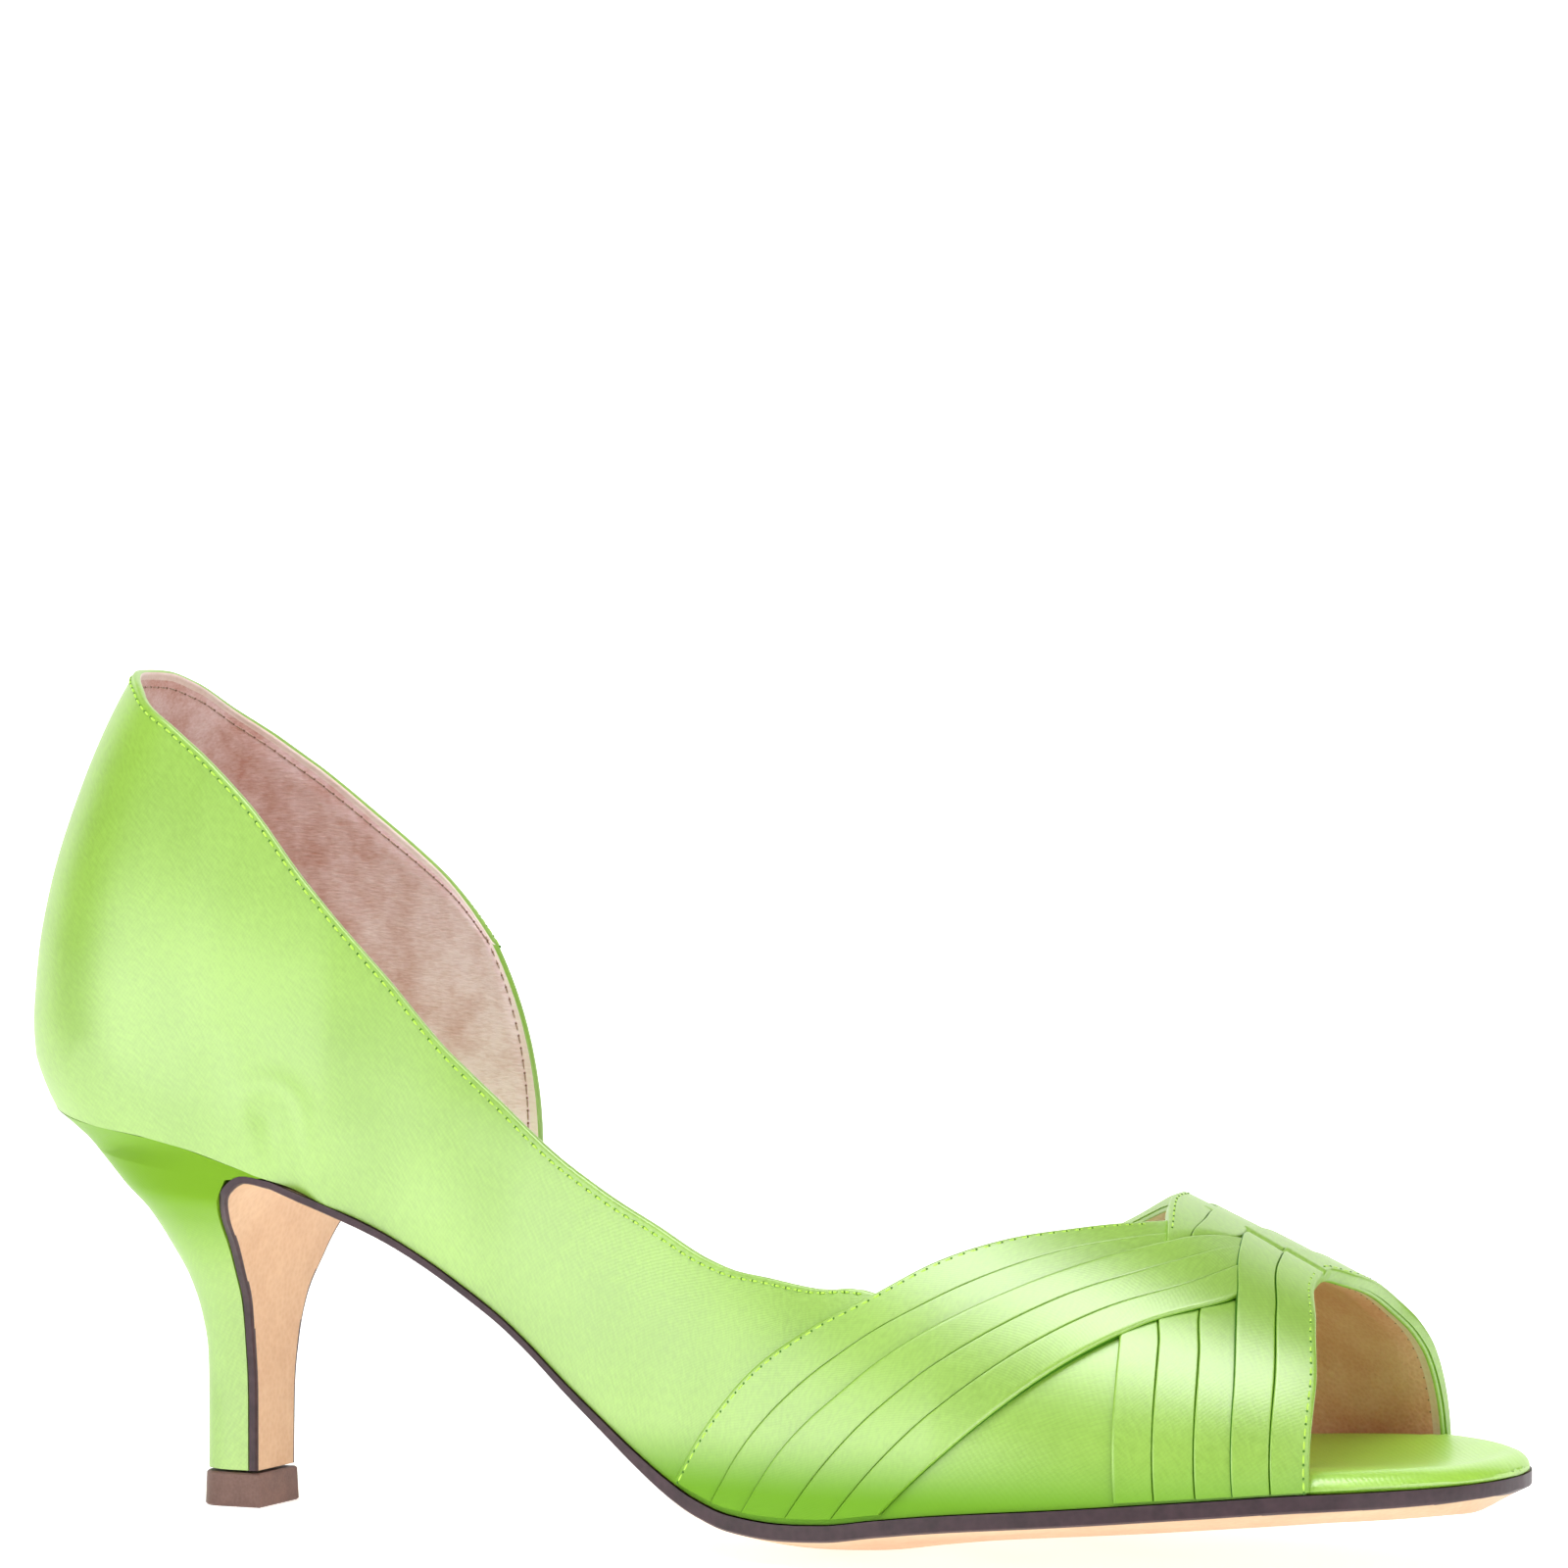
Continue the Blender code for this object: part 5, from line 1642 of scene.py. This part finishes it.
@dataclass(frozen=True)
class Studio:
    """Pale sweep, soft light and the camera at the photograph's place."""

    eye: tuple[float, float, float] = (0.61126, -1.14548, 0.15843)
    right: tuple[float, float, float] = (0.90998, 0.41465, 0.0)
    up: tuple[float, float, float] = (-0.01633, 0.03584, 0.99922)
    lens: float = 199.8
    sensor: float = 36.0

    def place_camera(self) -> None:
        """Put the camera where the photograph was taken from."""
        data = bpy.data.cameras.new("camera")
        data.lens, data.sensor_width = self.lens, self.sensor
        data.sensor_fit = "HORIZONTAL"
        data.clip_start, data.clip_end = 0.05, 30.0
        camera = bpy.data.objects.new("camera", data)
        right, up = Vector(self.right).normalized(), Vector(self.up).normalized()
        back = right.cross(up)
        turn = Matrix((right, up, back)).transposed().to_4x4()
        camera.matrix_world = Matrix.Translation(self.eye) @ turn
        bpy.context.scene.collection.objects.link(camera)
        bpy.context.scene.camera = camera

    def lay_floor(self) -> None:
        """Lay the floor, swept up behind the shoe."""
        made, tree, shader = new_finish("white_paper_sweep", {"Roughness": 0.9})
        shader.inputs["Emission Color"].default_value = linear("#FFFFFF")
        place = add_node(tree, "ShaderNodeTexCoord")
        # The far paper is lit from behind, so that it stays as white as the floor by the shoe
        away = add_node(tree, "ShaderNodeVectorMath", {"operation": "LENGTH"}, {0: place.outputs["Object"]})
        glow = add_node(tree, "ShaderNodeMapRange",
                        {"From Min": 0.25, "From Max": 1.4, "To Min": 0.64, "To Max": 0.92},
                        {"Value": away.outputs["Value"]})
        tree.links.new(glow.outputs["Result"], shader.inputs["Emission Strength"])
        fibre = add_node(tree, "ShaderNodeTexNoise", {"Scale": 900.0, "Detail": 2.0},
                         {"Vector": place.outputs["Object"]})
        colour = add_node(tree, "ShaderNodeMix", {"data_type": "RGBA"}, {0: fibre.outputs["Fac"]})
        colour.inputs[6].default_value = linear("#F6F6F5")
        colour.inputs[7].default_value = linear("#FBFBFA")
        tree.links.new(colour.outputs[2], shader.inputs["Base Color"])
        piece = PieceMesh("paper_sweep", [made])
        behind, bend = 2.0, 0.8
        profile = [(-4.0, 0.0), (behind, 0.0)]
        profile += [(behind + bend * math.sin(a), bend - bend * math.cos(a))
                    for a in np.linspace(0.1, math.pi / 2, 10)]
        profile += [(behind + bend, 3.5)]
        ahead = Vector((-self.right[1], self.right[0], 0.0))
        across = Vector(self.right)
        rows = [[ahead * d + across * w + Vector((0.0, 0.0, h)) for w in (-4.0, 4.0)]
                for d, h in profile]
        loops = np.array([[tuple(p) for p in row] for row in rows])
        piece.add_loops(loops, loops[..., :2], np.zeros((len(loops) - 1, 2), int), closed=False)
        sweep = piece.make(80.0)
        if sweep.data.polygons[0].normal.z < 0.0:
            sweep.data.flip_normals()

    def hang_lights(self) -> None:
        """Hang the softboxes and set the room's even light."""
        boxes = (
            ("key_softbox", (0.22, -0.52, 1.22), 1.7, 0.85, 19.0),
            ("side_softbox", (-0.67, -0.98, 0.20), 1.0, 0.36, 3.0),
            ("toe_softbox", (1.15, -0.40, 0.36), 0.5, 0.5, 1.2),
            ("back_softbox", (0.0, 1.2, 1.1), 1.2, 0.8, 0.7),
        )
        aim = Vector((0.09, 0.0, 0.05))
        for name, place, wide, tall, power in boxes:
            data = bpy.data.lights.new(name, "AREA")
            data.shape, data.size, data.size_y, data.energy = "RECTANGLE", wide, tall, power
            light = bpy.data.objects.new(name, data)
            light.location = place
            light.rotation_euler = (aim - Vector(place)).to_track_quat("-Z", "Y").to_euler()
            bpy.context.scene.collection.objects.link(light)
        world = bpy.data.worlds.new("studio")
        world.use_nodes = True
        world.node_tree.nodes["Background"].inputs["Color"].default_value = linear("#FFFFFF")
        world.node_tree.nodes["Background"].inputs["Strength"].default_value = 0.10
        bpy.context.scene.world = world
        bpy.context.scene.view_settings.view_transform = "Standard"

    def build(self) -> None:
        """Set up the whole studio."""
        self.place_camera()
        self.lay_floor()
        self.hang_lights()


def main() -> None:
    """Dress the shoe piece by piece."""
    logging.basicConfig(level=logging.INFO, format="%(message)s")
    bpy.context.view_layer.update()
    Studio().build()
    satin = Satin("lime_satin").material()
    # Painted shade: the heel darkens and loses gloss toward its seat; the insole takes only a faint painted
    # shade low at the toe
    heel_satin = Satin("lime_satin_heel", slant=58.0, shaded_from=32.0 * MM, shaded_to=48.0 * MM,
                       shaded="#76A61C").material()
    insole_satin = Satin("lime_satin_insole", "#A4DA40", "#B2E84C", slant=-32.0, twill=0.8 * MM, relief=0.4,
                         shaded_to=-20.0 * MM).material()
    # Painted shade: a darker, nearly matt copy of the satin for the grooves and tucked edges of the weave
    fold_shade = Satin("lime_satin_fold_shade", "#346C08", "#427C12", shaded="#2A5C06", gloss=0.1).material()
    suede = Suede().material()
    suede_edge = Suede("pale_suede_edge", "#EACAC2", "#F8E6E0").material()
    lining = GrainLeather("tan_lining_leather", "#E89C84", "#FFC8B2", roughness=0.45, relief=0.8).material()
    border = GrainLeather("pink_beige_edge_leather", "#F0CCBA", "#FCE2D6", roughness=0.6).material()
    tan = GrainLeather("tan_sole_leather", "#CCA47C", "#E0C09C", grain=0.9 * MM, roughness=0.42).material()
    dyed = GrainLeather("dyed_sole_edge", "#2C1C22", "#463038", grain=1.2 * MM, cloud=5.0 * MM,
                        roughness=0.42, relief=0.25).material()
    plastic = GrainLeather("brown_lift_plastic", "#664A42", "#7E6058", grain=0.4 * MM, cloud=4.0 * MM,
                           roughness=0.5, relief=0.2).material()
    lime_thread = Thread("lime_thread", "#AEDD3E", "#C6F25C").material()
    # Painted shade: dark green dots stand for the shade inside the needle holes
    hole = Thread("needle_hole_shade", "#3C7010", "#52881C", 0.9).material()
    brown_thread = Thread("brown_thread", "#A08070", "#C0A090").material()
    # Painted shade: dark brown dots stand for the shade inside the lining's needle holes
    lining_hole_shade = Thread("lining_needle_hole_shade", "#7E5C4E", "#946E60", 0.9).material()

    quarter_finishes = {Wear.OUTER: satin, Wear.EDGE: satin, Wear.BORDER: suede_edge, Wear.LINING: suede}
    quarter_face = Quarter().build(quarter_finishes)[1]
    vamp_finishes = {Wear.OUTER: satin, Wear.EDGE: satin, Wear.BORDER: border, Wear.LINING: lining}
    vamp_face = VampBacking().build(vamp_finishes)[1]
    tops = {}
    for band in BANDS:
        tops[band.name] = band.build(satin, fold_shade)[1]
    Insole().build(insole_satin)
    Outsole().build(tan, dyed)
    Heel().build(heel_satin)
    TopLift().build(plastic)

    topline = inside_edge(quarter_face, 0.85 * MM, 0.08 * MM)
    rear_edge = inside_edge(tops["outer_rear"][:, ::-1], 1.1 * MM, -0.08 * MM)
    throat_edge = inside_edge(tops["throat"][:, ::-1], 1.2 * MM, -0.08 * MM)
    toe_edge = inside_edge(tops["toe"], 1.25 * MM, 0.08 * MM)
    far_toe_edge = inside_edge(tops["inner_front"], 1.25 * MM, 0.08 * MM)
    lime_paths = [topline[:-6], rear_edge[:-14], throat_edge[8:], toe_edge[:-8], far_toe_edge[4:]]
    Seam("lime_stitches", StitchPart.THREAD).build(lime_paths, lime_thread, "lime_satin")
    Seam("needle_hole_shade_dots", StitchPart.HOLE, radius=0.20 * MM).build(lime_paths, hole, "lime_satin")
    lining_line = inside_edge(quarter_face, 1.9 * MM, -1.58 * MM)[3:-8]
    front_line = inside_edge(quarter_face[::-1].transpose(1, 0, 2), 1.9 * MM, -1.60 * MM)[3:-3]
    Seam("lining_stitches", StitchPart.THREAD, radius=0.13 * MM).build(
        [lining_line, front_line], brown_thread, "lime_satin")
    vamp_lines = [inside_edge(vamp_face, 1.5 * MM, -1.12 * MM)[10:-4],
                  inside_edge(vamp_face[:, ::-1], 1.5 * MM, 1.12 * MM)[26:-4]]
    Seam("lining_needle_hole_shade_dots", StitchPart.HOLE, radius=0.17 * MM).build(
        [lining_line, front_line, *vamp_lines], lining_hole_shade, "lime_satin")


if __name__ == "__main__":
    main()
